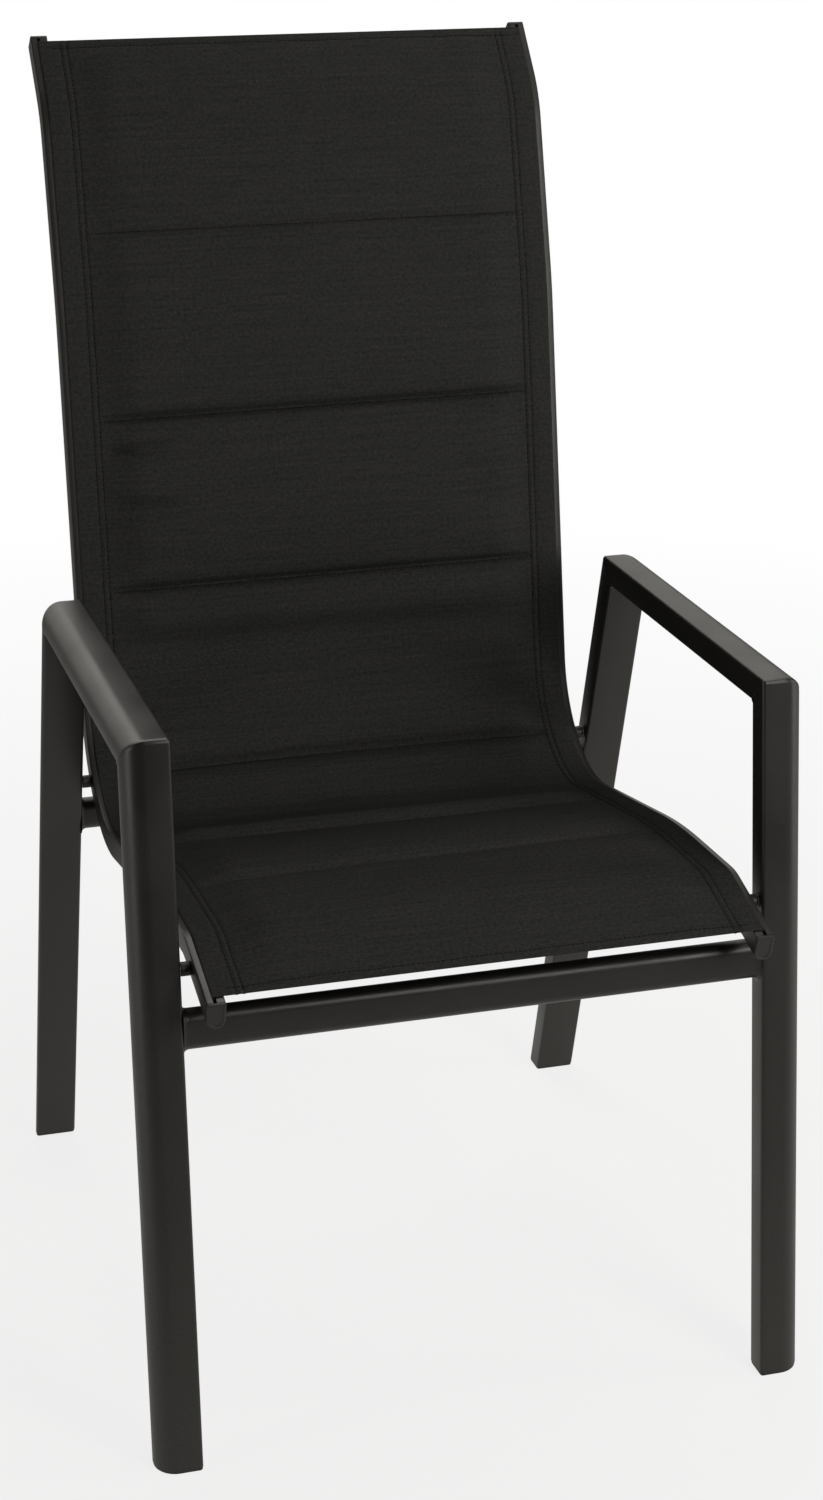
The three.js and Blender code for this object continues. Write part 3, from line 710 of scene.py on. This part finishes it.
def turned(side, spot, profile, socket=(), seat=0, sense=1, closed=False):
    """Spin a profile, and after it a six-sided one, about a bolt's axis."""
    steps = np.radians(np.arange(0, 360, 10))
    rings = []
    for k, (away, radius) in enumerate([*profile, *socket]):
        reach = np.full(len(steps), float(max(radius, LEAST_RADIUS)))
        if k >= len(profile):
            off_flat = (steps % math.radians(60)) - math.radians(30)
            reach = reach / np.cos(off_flat) * math.cos(math.radians(30))
        rings.append(np.column_stack([
            np.full(len(steps), side * (seat + sense * away)),
            spot[0] + reach * np.cos(steps), spot[1] + reach * np.sin(steps),
        ]))
    return np.concatenate(rings), ring_faces(len(rings), len(steps), closed)


for word, side in SIDES.items():
    for place, spot in BOLT_SPOTS.items():
        points, faces = turned(side, spot, HEAD, SOCKET, HEAD_SEAT, -1)
        make_piece(f"{word}_{place}_button_bolt", points, faces, fixing_steel,
                   [f"{word}_{place}_bolt"])
        points, faces = turned(side, spot, SPACER, closed=True)
        make_piece(f"{word}_{place}_round_spacer", points, faces, cap_plastic,
                   [f"{word}_{place}_spacer"])
        points, faces = turned(side, spot, NUT, closed=True)
        make_piece(f"{word}_{place}_blind_nut", points, faces, fixing_steel,
                   [f"{word}_{place}_rivet_nut"])
print("bolt spots", BOLT_SPOTS)

# %% [markdown]
# Two small pieces stay as the CAD made them, the plugs in the spreader bar and the rods that
# hold the hems in their grooves. They only need their finish.

# %% Finish the CAD pieces that stay
for word in SIDES:
    for kept in (f"{word}_spreader_plug", f"{word}_sling_edge_rod"):
        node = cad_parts[kept]
        node.data.materials.clear()
        node.data.materials.append(cap_plastic)
        node.data.shade_smooth()
        node.data.set_sharp_from_angle(angle=math.radians(40))
print("kept CAD pieces have", cap_plastic.name)

# %% [markdown]
# The sling is the piece that people look at. It is one length of mesh, two layers with a thin
# pad between, sewn through on six lines across and hemmed all round. Its shape comes in three
# steps. First a base: flat hems, and padding whose height along the sling was read from the
# light and dark bands of the photograph, low at each seam and full beside it. Then a cloth
# simulation changes the top layer a little, which gives the uneven fullness that no table has.
# Last, a much finer mesh takes that shape and gets the seams, folds and hems, which are narrower
# than the simulated cloth could show.

# %% Sling sizes
SLING_START, SLING_END = 6, RAIL_LENGTH - 4
SPAN = SLING_END - SLING_START
SEAMS = SLING_START + SPAN * np.array([0.153, 0.273, 0.416, 0.565, 0.699, 0.844])
EDGES = np.array([SLING_START, *SEAMS, SLING_END])
PAD_HALF, PAD_ROLL, PAD_BELLY = 212, 40, 2.5
FACE_GAP, HEM = 0.3, 1.4
HEM_TOP = FACE_GAP + HEM
HEM_EDGE = RAIL_OUTER - KEY_X + HEM / 2

PROFILE = np.array([
    # distance along the rail, height of the cloth over its hems
    (6, 0), (20, 1.5), (35, 4), (60, 5.5), (120, 6), (165, 5.6), (178, 4.8), (186, 3.4),
    (192.5, 2.2),
    (198, 4.4), (206, 6.8), (218, 7.8), (240, 7.4), (265, 6.2), (290, 4.4), (308, 2.8),
    (322, 1.6), (332, 1.0), (339, 0.6),
    (344, 2.6), (350, 5.2), (357, 7.2), (364, 7.4), (372, 5.6), (382, 3.0), (394, 1.0),
    (410, 0.4), (430, 1.2), (452, 3.0), (472, 5.6), (487, 8.0), (495, 8.0), (502, 5.6),
    (507, 2.4), (510, 0.6), (512.9, -0.6),
    (515.5, 1.6), (519, 4.8), (524, 7.8), (530, 9.4), (538, 9.6), (550, 8.4), (575, 5.4),
    (600, 2.8), (620, 0.8), (632, -0.4), (639, -0.4), (646, 2.4), (653, 6.4), (660, 9.8),
    (668, 11.2), (676, 10.4), (684, 7.6), (690, 4.0), (694.5, -0.8),
    (697, 0.6), (700, 3.0), (703, 5.2), (707, 7.4), (712, 9.2), (718, 10.6), (728, 12.0),
    (742, 13.0), (760, 13.4), (780, 13.0), (805, 11.8), (835, 9.6), (847, 7.8), (853, 5.0),
    (857.9, -0.6),
    (860, 1.4), (863, 4.3), (867, 7.0), (872, 8.9), (880, 10), (895, 9.8), (950, 8.2),
    (1000, 7.2), (1020, 6.4), (1029, 4.8), (1034.6, 2.4),
    (1038, 4.4), (1045, 5.8), (1060, 6.4), (1110, 6.6), (1180, 6), (1205, 4), (1215, 1.5),
    (1225, 0),
])
SOFTENING = ((-3, 0.1), (-1.5, 0.2), (0, 0.4), (1.5, 0.2), (3, 0.1))


def padding(s):
    """Height of the padding over the hems, with the table's corners rounded off."""
    return sum(np.interp(s + shift, *PROFILE.T) * share for shift, share in SOFTENING)


def side_fade(x):
    return np.sin(np.clip((PAD_HALF - np.abs(x)) / PAD_ROLL, 0, 1) * np.pi / 2) ** 2


print("sling", round(SPAN, 1), "mm long and", round(2 * HEM_EDGE, 1), "mm wide; seams at",
      [round(v, 1) for v in SEAMS])

# %% [markdown]
# The simulated sheet is the padded part of the top layer, about 7 mm a square. Its edges and the
# six seam rows are pinned. The cloth is cut a little larger than the space it has, and a
# low pressure from below stands for the springy pad. Gravity is off, because the pad is held by
# its seams and the weight of the cloth is nothing beside that. Only part of the change counts,
# less on the seat than on the back, and never more than 3 mm, so that the measured heights stay.

# %% Simulate the padding's top layer
SHEET_STEP, SHEET_COLUMNS = 7, 61
OVERSIZE, PRESSURE, WOBBLE = 0.003, 0.5, 0.12
FRAMES = 25
PANEL_GAIN = np.array([0.4, 0.3, 0.3, 0.5, 0.7, 0.7, 0.7])
LARGEST_CHANGE = 3.0
CLOTH_SETTINGS = {
    "quality": 8, "mass": 0.3,
    "tension_stiffness": 30, "compression_stiffness": 30,
    "shear_stiffness": 12, "bending_stiffness": 1.2,
    "vertex_group_mass": "sewn", "shrink_min": -OVERSIZE,
    "use_pressure": True, "uniform_pressure_force": PRESSURE,
}


def sheet_rows():
    rows = [np.array([SLING_START])]
    for low, high in zip(EDGES[:-1], EDGES[1:]):
        count = round((high - low) / SHEET_STEP)
        rows.append(np.linspace(low, high, count + 1)[1:])
    return np.concatenate(rows)


def start_heights(rows, columns):
    fade = side_fade(columns)[None, :]
    return HEM_TOP + fade * padding(rows)[:, None]


def simulate_top(rows, columns):
    """Heights of the top layer over the rail's face after the cloth has settled."""
    heights = start_heights(rows, columns)
    wobble = np.random.default_rng(7).normal(0, WOBBLE, heights.shape)
    pinned_rows = np.isin(np.round(rows, 3), np.round(EDGES, 3))
    free = ~pinned_rows[:, None] & (np.abs(columns) < PAD_HALF - 1)[None, :]
    heights = heights + wobble * free
    y, z = on_route(np.repeat(rows, len(columns)), heights.ravel())
    places = np.column_stack([np.tile(columns, len(rows)), y, z]) * MM
    size = len(columns)
    quads = [
        (i * size + k, i * size + k + 1, (i + 1) * size + k + 1, (i + 1) * size + k)
        for i in range(len(rows) - 1) for k in range(size - 1)
    ]
    mesh = bpy.data.meshes.new("pad_top")
    mesh.from_pydata(places.tolist(), [], quads)
    sheet = bpy.data.objects.new("pad_top", mesh)
    bpy.context.scene.collection.objects.link(sheet)
    held = sheet.vertex_groups.new(name="sewn")
    held.add([int(v) for v in np.flatnonzero(~free.ravel())], 1.0, "REPLACE")
    cloth = sheet.modifiers.new("cloth", "CLOTH")
    for setting, value in CLOTH_SETTINGS.items():
        setattr(cloth.settings, setting, value)
    cloth.settings.effector_weights.gravity = 0
    cloth.collision_settings.use_collision = False
    scene = bpy.context.scene
    for number in range(1, FRAMES + 1):
        scene.frame_set(number)
    moved = sheet.evaluated_get(bpy.context.evaluated_depsgraph_get()).data
    result = np.zeros(len(moved.vertices) * 3)
    moved.vertices.foreach_get("co", result)
    result = result.reshape(-1, 3) / MM
    scene.frame_set(1)
    bpy.data.objects.remove(sheet)
    base_y, base_z = on_route(np.repeat(rows, size), np.zeros(len(rows) * size))
    angle = np.interp(np.repeat(rows, size), ROUTE[:, 0], ROUTE[:, 3])
    rise = -(result[:, 1] - base_y) * np.sin(angle) + (result[:, 2] - base_z) * np.cos(angle)
    return rise.reshape(heights.shape)


sheet_s = sheet_rows()
sheet_x = np.linspace(-PAD_HALF, PAD_HALF, SHEET_COLUMNS)
change = simulate_top(sheet_s, sheet_x) - start_heights(sheet_s, sheet_x)
print("simulated change of height:", round(float(change.min()), 2), "to",
      round(float(change.max()), 2), "mm")
panel_of = np.clip(np.searchsorted(EDGES, sheet_s) - 1, 0, len(PANEL_GAIN) - 1)
change = LARGEST_CHANGE * np.tanh(change * PANEL_GAIN[panel_of][:, None] / LARGEST_CHANGE)

# %% [markdown]
# The fine mesh needs rows close together only where something narrow happens: at the seams,
# the hem lines and the two cut ends. A cubic between the simulated points keeps the large
# curves smooth.

# %% Rows and columns of the fine mesh
ROW_STEP, COLUMN_STEP = 4.5, 5.5
NEAR_SEAM = [0.5, 1.1, 1.8, 2.6, 3.6, 4.8, 6.2, 8, 10, 12.5]
NEAR_HEM_LINE = [-2.2, -1.2, -0.6, 0, 0.6, 1.2, 2.2]
NEAR_END = np.array([0.15, 0.5, 1.1, 2, 7, 8.6, 9.4, 11, 13])
HEM_LINES, END_HEM = (212.5, 218.5), 9


def spaced(low, high, step, fine_at, fine_offsets, least=0.3):
    values = [*np.linspace(low, high, round((high - low) / step) + 1)]
    close = np.array([at + off for at in fine_at for off in fine_offsets])
    close = close[(close > low) & (close < high)]
    reach = np.abs(np.array(values)[:, None] - np.array(fine_at)[None, :]).min(1)
    values = [v for v, r in zip(values, reach) if r > max(fine_offsets) or v in (low, high)]
    merged = np.unique(np.concatenate([values, close]))
    keep = np.concatenate([[True], np.diff(merged) > least])
    keep[-1] = True
    return merged[keep]


def cubic(values, spots, axis):
    """Catmull-Rom between samples at 0, 1, 2... along an axis."""
    values = np.moveaxis(values, axis, 0)
    last = len(values) - 1
    at = np.clip(spots, 0, last)
    i = np.minimum(at.astype(int), last - 1)
    t = (at - i).reshape(-1, *[1] * (values.ndim - 1))
    a, b = values[np.maximum(i - 1, 0)], values[i]
    c, d = values[i + 1], values[np.minimum(i + 2, last)]
    made = b + 0.5 * t * (c - a + t * (2 * a - 5 * b + 4 * c - d + t * (3 * (b - c) + d - a)))
    return np.moveaxis(made, 0, axis)


hem_lines = np.array(HEM_LINES)
end_hems = np.array([SLING_START + END_HEM, SLING_END - END_HEM])
around_seam = [-v for v in NEAR_SEAM[::-1]] + [0] + NEAR_SEAM
rows = spaced(SLING_START, SLING_END, ROW_STEP, [*SEAMS], around_seam)
rows = np.unique(np.concatenate([rows, SLING_START + NEAR_END, SLING_END - NEAR_END]))
columns = spaced(-HEM_EDGE + HEM, HEM_EDGE - HEM, COLUMN_STEP, [*hem_lines, *-hem_lines],
                 NEAR_HEM_LINE)
print("fine mesh", len(rows), "rows by", len(columns), "columns")

# %% [markdown]
# A used sling has folds of its own. The photograph shows a soft one under the third seam from
# the top, a crease where the seat meets the back, a rib across the rear of the seat, two short
# wrinkles near the left hem and a dent at the right one. Each is a low ridge or a shallow
# valley, with its middle, its lean, its reach each way and its height in the table.

# %% Folds
FOLDS = [
    # along, lean, across, reach along, reach across, height
    (506, -3, -110, 3.2, 80, 1.2), (446, -8, -10, 9, 170, -0.8), (434, -8, -10, 8, 170, 0.8),
    (842, 14, -180, 4.5, 28, -9), (770, -8, -180, 5, 28, -9), (620, 0, 208, 34, 20, -2.2),
    (858, 0, 222, 24, 8, 0.5), (580, 30, 150, 22, 60, -1.2), (905, 10, 60, 40, 120, 0.5),
    (760, -15, -60, 45, 110, 0.5), (120, 6, 140, 30, 60, -0.8),
]


def bell(away, reach):
    return np.exp(-(away / reach) ** 2)


def fold_height(along, lean, across, reach_along, reach_across, height):
    middle_line = along + lean * columns / PAD_HALF
    near_line = bell(rows[:, None] - middle_line[None, :], reach_along)
    return height * near_line * np.exp(-((columns - across) / reach_across) ** 4)[None, :]


print(len(FOLDS), "folds")

# %% [markdown]
# A seam cuts a narrow line into the cloth and pulls the pad down just behind its thread, deeper
# at some seams than at others. The two rows of stitches in each hem and the one in each end hem
# press in lines of their own, and the hem dips faintly at the rail's inner edge. Each is a bell
# curve with a depth and a reach.

# %% Heights of the fine mesh
SEAM_DEPTH, SEAM_REACH = 0.9, 1.5
PINCH_DEPTHS = np.array([1.3, 0.3, 3.2, 4.4, 3.7, 1.5])
PINCH_OFFSET, PINCH_REACH = 2, 3.4
STITCH_LINE_DEPTH, STITCH_LINE_REACH = 0.8, 1.3
RAIL_LINE_DEPTH, RAIL_LINE_REACH = 0.3, 0.9
END_LINE_DEPTH, END_LINE_REACH = 0.7, 0.9
SEAM_END_SOFTNESS = 2


def fine_heights():
    row_at = np.interp(rows, sheet_s, np.arange(len(sheet_s)))
    column_at = np.interp(columns, sheet_x, np.arange(len(sheet_x)))
    moved = cubic(cubic(change, row_at, 0), column_at, 1) * (np.abs(columns) <= PAD_HALF)
    heights = HEM_TOP + side_fade(columns)[None, :] * padding(rows)[:, None] + moved
    for fold in FOLDS:
        heights = heights + fold_height(*fold)
    away = rows[:, None] - SEAMS[None, :]
    groove = SEAM_DEPTH * bell(away, SEAM_REACH).sum(1)
    groove = groove + bell(away - PINCH_OFFSET, PINCH_REACH) @ PINCH_DEPTHS
    aside = np.abs(columns)
    past_pad = (aside - PAD_HALF + SEAM_END_SOFTNESS) / SEAM_END_SOFTNESS
    ends = 1 / (1 + np.exp(past_pad))
    heights = heights - groove[:, None] * ends[None, :]
    stitched = bell(aside[:, None] - hem_lines[None, :], STITCH_LINE_REACH).sum(1)
    pressed = STITCH_LINE_DEPTH * stitched
    pressed = pressed + RAIL_LINE_DEPTH * bell(aside - RAIL_INNER, RAIL_LINE_REACH)
    end_lines = bell(rows[:, None] - end_hems[None, :], END_LINE_REACH).sum(1)
    return heights - pressed[None, :] - END_LINE_DEPTH * end_lines[:, None]


top = fine_heights()
crown = np.clip(top - HEM_TOP, 0, None) / PROFILE[:, 1].max()
under = np.minimum(FACE_GAP - PAD_BELLY * crown, top - HEM)
print("top surface", round(float(top.min()), 2), "to", round(float(top.max()), 2),
      "mm over the rail face")

# %% [markdown]
# Nobody sews a seam quite straight. Each one here drifts by a few millimetres as it does in the
# photograph: a shift, a lean and a bow, which fade out on the way to the next seam.

# %% Drift of the seams
DRIFT = np.array([
    # shift, lean, bow
    (0.5, 4.5, -1), (5, -4.5, 4), (3, 0, -3), (-1, 1, 0), (0.5, 1.5, 0), (-0.5, 0.5, 0),
])
DRIFT_REACH = 45


def drifted(s, x):
    near_seam = bell(s[..., None] - SEAMS, DRIFT_REACH)
    u = (x / PAD_HALF)[..., None]
    return s + (near_seam * (DRIFT[:, 0] + DRIFT[:, 1] * u + DRIFT[:, 2] * u ** 2)).sum(-1)


right_ends = drifted(SEAMS, np.full(len(SEAMS), float(PAD_HALF)))
print("largest drift", round(float(np.abs(right_ends - SEAMS).max()), 1), "mm")

# %% [markdown]
# The sling is one closed skin: a ring of points for each row, over the top, round the rolled
# hem, down into the rail's groove, and back along the underside. The roll stands 0.9 mm further
# out than the hem's edge, so that it covers the mouth of the groove, as real slings do.

# %% Build the sling
HEM_OVERHANG, TAB_RISE = 0.9, 0.2
END_RADIUS, THINNEST_SHARE = 1.2, 0.02


def rounded_ends(heights, middle):
    near_end = np.minimum(rows - SLING_START, SLING_END - rows)
    inward = 1 - np.clip(1 - near_end / END_RADIUS, 0, 1) ** 2
    return middle + (heights - middle) * np.sqrt(np.clip(inward, THINNEST_SHARE, 1))[:, None]


def sling_mesh_data():
    turn = np.radians([75, 50, 25, 0])
    roll_x = HEM_EDGE - HEM + (HEM + HEM_OVERHANG) * np.cos(turn)
    roll_h = FACE_GAP + HEM * np.sin(turn)
    slot_h = KEY_Y + KEY_RADIUS
    tab_x = np.array([HEM_EDGE, HEM_EDGE - HEM, HEM_EDGE - HEM])
    tab_h = np.array([slot_h, slot_h, FACE_GAP - TAB_RISE])
    side_x, side_h = np.concatenate([roll_x, tab_x]), np.concatenate([roll_h, tab_h])
    middle = (FACE_GAP + HEM_TOP) / 2
    over, below = rounded_ends(top, middle), rounded_ends(under, middle)
    x = np.concatenate([columns, side_x, columns[::-1], -side_x[::-1]])
    flat = np.ones((len(rows), 1))
    heights = np.concatenate([over, flat * side_h, below[:, ::-1], flat * side_h[::-1]], 1)
    s, across = np.repeat(rows, len(x)), np.tile(x, len(rows))
    y, z = on_route(drifted(s, across), heights.ravel())
    points = np.column_stack([across, y, z])
    return points, ring_faces(len(rows), len(x)), np.column_stack([across, s]) * MM


points, faces, cloth_places = sling_mesh_data()
sling = make_piece("quilted_sling", points, faces, sling_mesh,
                   ["padded_sling"], crease=75)
cloth_map = sling.data.uv_layers.new(name="cloth")
corners = np.zeros(len(sling.data.loops), int)
sling.data.loops.foreach_get("vertex_index", corners)
cloth_map.data.foreach_set("uv", cloth_places[corners].astype(np.float32).ravel())
print(sling.name, len(sling.data.vertices), "points; flat cut",
      round(2 * HEM_EDGE), "x", round(SPAN), "mm")

# %% [markdown]
# The seams are lock-stitched in thick thread. Each stitch is a short bar that dips into the cloth
# at both ends, one every 4.2 mm, so a row of them reads as the dotted line of the photograph.

# %% Stitches
STITCH_PITCH, STITCH_LENGTH, STITCH_RADIUS = 4.2, 3.3, 0.38
STITCH_RINGS = ((-0.5, 0.3), (-0.36, 0.85), (0, 1), (0.36, 0.85), (0.5, 0.3))
STITCH_SIDES, STITCH_RISE, STITCH_DIP = 6, 0.5, 2.2
PAST_PAD, SHORT_OF_END, END_HEM_HALF = 2, 4, 226


def height_at(s, x):
    row_at = np.interp(s, rows, np.arange(len(rows)))
    column_at = np.interp(x, columns, np.arange(len(columns)))
    i = np.minimum(row_at.astype(int), len(rows) - 2)
    j = np.minimum(column_at.astype(int), len(columns) - 2)
    u, v = row_at - i, column_at - j
    low = top[i, j] * (1 - v) + top[i, j + 1] * v
    high = top[i + 1, j] * (1 - v) + top[i + 1, j + 1] * v
    return low * (1 - u) + high * u


def stitch_row(start, stop):
    """Rings of points for every stitch on a straight line in (along, across)."""
    start, stop = np.array(start, float), np.array(stop, float)
    length = np.linalg.norm(stop - start)
    way = (stop - start) / length
    sideways = np.array([-way[1], way[0]])
    centres = start + way * np.arange(STITCH_PITCH / 2, length, STITCH_PITCH)[:, None]
    rings = []
    for share, size in STITCH_RINGS:
        for angle in np.radians(np.arange(0, 360, 360 // STITCH_SIDES)):
            swing = sideways * STITCH_RADIUS * size * math.cos(angle)
            spot = centres + way * share * STITCH_LENGTH + swing
            arch = STITCH_RISE - STITCH_DIP * share ** 2
            lift = STITCH_RADIUS * (size * math.sin(angle) + arch)
            rings.append(np.column_stack([spot, height_at(spot[:, 0], spot[:, 1]) + lift]))
    return np.stack(rings, 1)


def all_stitches():
    half, first, last = PAD_HALF + PAST_PAD, SLING_START + SHORT_OF_END, SLING_END - SHORT_OF_END
    lines = [((s, -half), (s, half)) for s in SEAMS]
    lines += [((first, x), (last, x)) for line in hem_lines for x in (-line, line)]
    lines += [((s, -END_HEM_HALF), (s, END_HEM_HALF)) for s in end_hems]
    blocks = np.concatenate([stitch_row(*line) for line in lines])
    y, z = on_route(drifted(blocks[..., 0], blocks[..., 1]), blocks[..., 2])
    points = np.stack([blocks[..., 1], y, z], -1)
    one, size = ring_faces(len(STITCH_RINGS), STITCH_SIDES), points.shape[1]
    faces = [tuple(k * size + v for v in face) for k in range(len(points)) for face in one]
    return points, faces


points, faces = all_stitches()
make_piece("sling_stitches", points, faces, thread)
print(len(points), "stitches")

# %% [markdown]
# The studio is white all round for the camera's own rays, and the floor keeps the chair's
# shadow, a little greyer near the chair. Black satin tubes show their form only by what they
# reflect, so glossy and transmitted rays see more: a white roll of paper behind the chair, a
# dark room beside it, and a floor that is pale under the chair and fades in front. Behind the
# chair it fades too, as a painted shadow of the chair in the reflections.
# All other rays get a weak fill from the room. The warm tint is that of the lamps.

# %% Which ray asks, and what colour it gets
LAMP_WHITE, PAPER_WHITE = (1, 0.965, 0.91, 1), (1, 1, 1, 1)


def ray_kinds(tree):
    """One output for the camera's own rays, one for rays bent by gloss or glass."""
    seen = add_node(tree, "ShaderNodeLightPath")
    bent = add_node(tree, "ShaderNodeMath", {
        0: seen.outputs["Is Glossy Ray"], 1: seen.outputs["Is Transmission Ray"],
    }, operation="MAXIMUM")
    return seen.outputs["Is Camera Ray"], bent.outputs[0]


def ray_white(tree, from_camera):
    return add_node(tree, "ShaderNodeMixRGB", {
        "Fac": from_camera, "Color1": LAMP_WHITE, "Color2": PAPER_WHITE,
    }).outputs["Color"]


print("lamp white:", LAMP_WHITE[:3])

# %% Floor
FLOOR_REACH, FLOOR_DROP = 20, 0.0002


def studio_floor():
    material, tree, shader = start_material("studio_floor")
    tree.nodes.remove(shader)
    from_camera, bent = ray_kinds(tree)
    place = add_node(tree, "ShaderNodeTexCoord").outputs["Object"]
    away = add_node(tree, "ShaderNodeVectorMath", {0: place}, operation="LENGTH")
    glow = add_node(tree, "ShaderNodeMapRange", {
        "Value": away.outputs["Value"],
        "From Min": 0.5, "From Max": 2.5, "To Min": 0.82, "To Max": 1,
    })
    direct = add_node(tree, "ShaderNodeMath", {
        0: from_camera, 1: glow.outputs["Result"],
    }, operation="MULTIPLY")
    depth = add_node(tree, "ShaderNodeSeparateXYZ", {"Vector": place}).outputs["Y"]
    front = add_node(tree, "ShaderNodeMapRange", {
        "Value": depth, "From Min": -1.3, "From Max": -0.5, "To Min": 0, "To Max": 0.55,
    })
    # Behind the chair reflections get less glow: a painted shadow of the chair on the floor, over
    # the real shadow that the floor's paint shows there.
    rear = add_node(tree, "ShaderNodeMapRange", {
        "Value": depth, "From Min": 0.3, "From Max": 1.2, "To Min": 0, "To Max": -0.35,
    })
    paper_and_painted_shadow = add_node(tree, "ShaderNodeMath", {
        0: front.outputs["Result"], 1: rear.outputs["Result"],
    }, operation="ADD")
    mirrored = add_node(tree, "ShaderNodeMath", {
        0: bent, 1: paper_and_painted_shadow.outputs[0],
    }, operation="MULTIPLY")
    amount = add_node(tree, "ShaderNodeMath", {
        0: direct.outputs[0], 1: mirrored.outputs[0],
    }, operation="MAXIMUM")
    paint = add_node(tree, "ShaderNodeBsdfDiffuse", {"Color": linear("#dcdcda")})
    white = add_node(tree, "ShaderNodeEmission", {
        "Color": ray_white(tree, from_camera), "Strength": 1.0,
    })
    mixed = add_node(tree, "ShaderNodeMixShader", {
        "Fac": amount.outputs[0], 1: paint.outputs[0], 2: white.outputs[0],
    })
    tree.links.new(mixed.outputs[0], tree.nodes["Material Output"].inputs["Surface"])
    return material


floor_mesh = bpy.data.meshes.new("studio_floor")
floor_mesh.from_pydata([
    (x * FLOOR_REACH, y * FLOOR_REACH, 0) for x, y in ((-1, -1), (1, -1), (1, 1), (-1, 1))
], [], [(0, 1, 2, 3)])
floor_mesh.materials.append(studio_floor())
floor = bpy.data.objects.new("studio_floor", floor_mesh)
floor.location.z = -FLOOR_DROP
bpy.context.scene.collection.objects.link(floor)
print("floor", 2 * FLOOR_REACH, "m across")

# %% Room
DARK_ROOM = 0.08

room = bpy.data.worlds.new("studio_room")
bpy.context.scene.world = room
room.use_nodes = True
tree = room.node_tree
backing = tree.nodes["Background"]
from_camera, bent = ray_kinds(tree)
facing = add_node(tree, "ShaderNodeSeparateXYZ", {
    "Vector": add_node(tree, "ShaderNodeTexCoord").outputs["Generated"],
})
fill = add_node(tree, "ShaderNodeMapRange", {
    "Value": facing.outputs["Y"], "From Min": -0.4, "From Max": 0.2, "To Min": 0.03, "To Max": 0.06,
})
aside = add_node(tree, "ShaderNodeMath", {0: facing.outputs["X"]}, operation="ABSOLUTE")
roll_width = add_node(tree, "ShaderNodeMapRange", {
    "Value": aside.outputs[0], "From Min": 0.4, "From Max": 0.65, "To Min": 1, "To Max": 0,
})
roll_front = add_node(tree, "ShaderNodeMapRange", {
    "Value": facing.outputs["Y"], "From Min": -0.3, "From Max": 0.2, "To Min": 0, "To Max": 1,
})
roll = add_node(tree, "ShaderNodeMath", {
    0: roll_width.outputs["Result"], 1: roll_front.outputs["Result"],
}, operation="MULTIPLY")
mirrored = add_node(tree, "ShaderNodeMath", {0: roll.outputs[0], 1: DARK_ROOM}, operation="MAXIMUM")
lighting = add_node(tree, "ShaderNodeMapRange", {
    "Value": bent, "To Min": fill.outputs["Result"], "To Max": mirrored.outputs[0],
})
strength = add_node(tree, "ShaderNodeMath", {
    0: lighting.outputs["Result"], 1: from_camera,
}, operation="MAXIMUM")
tree.links.new(strength.outputs[0], backing.inputs["Strength"])
tree.links.new(ray_white(tree, from_camera), backing.inputs["Color"])
print("room:", room.name)

# %% [markdown]
# Six soft boxes. The key stands in front at the right, only a little higher than the backrest,
# so that the lap lies in its own soft shade as in the photograph. A weak one hangs near the
# seat. One high up behind the backrest lights the tops of the arms, and the backrest hides it
# from the lap. One further back shows the rear, and two tall ones at the sides draw the edges of
# the tubes.

# %% Lamps
def soft_box(name, place, aim, width, height, watts):
    data = bpy.data.lights.new(name, "AREA")
    data.shape = "RECTANGLE"
    data.size, data.size_y, data.energy = width, height, watts
    data.color = (1, 0.97, 0.925)
    lamp = bpy.data.objects.new(name, data)
    bpy.context.scene.collection.objects.link(lamp)
    lamp.location = place
    lamp.rotation_euler = (Vector(aim) - Vector(place)).to_track_quat("-Z", "Y").to_euler()


MIDDLE = (0, 0, 0.55)
SOFT_BOXES = [
    # name, place, aim, width and height in metres, watts
    ("front_box", (0.9, -1.95, 1.42), (0, 0.1, 0.6), 0.8, 1.1, 20.5),
    ("near_box", (0.6, -0.35, 1.75), (0.1, 0.1, 0.6), 0.8, 0.8, 2.2),
    ("top_box", (0.25, 0.95, 2.3), (0.05, 0, 0.5), 1.4, 0.6, 10),
    ("rear_box", (-0.6, 2.1, 2.3), (0, 0.2, 0.8), 1.2, 0.8, 8),
    ("right_edge_box", (2.5, -0.8, 0.8), MIDDLE, 0.4, 1.6, 13),
    ("left_edge_box", (-2.6, -0.7, 0.4), MIDDLE, 0.6, 1.6, 14),
]
for box in SOFT_BOXES:
    soft_box(*box)
print("lamps:", [box[0] for box in SOFT_BOXES])
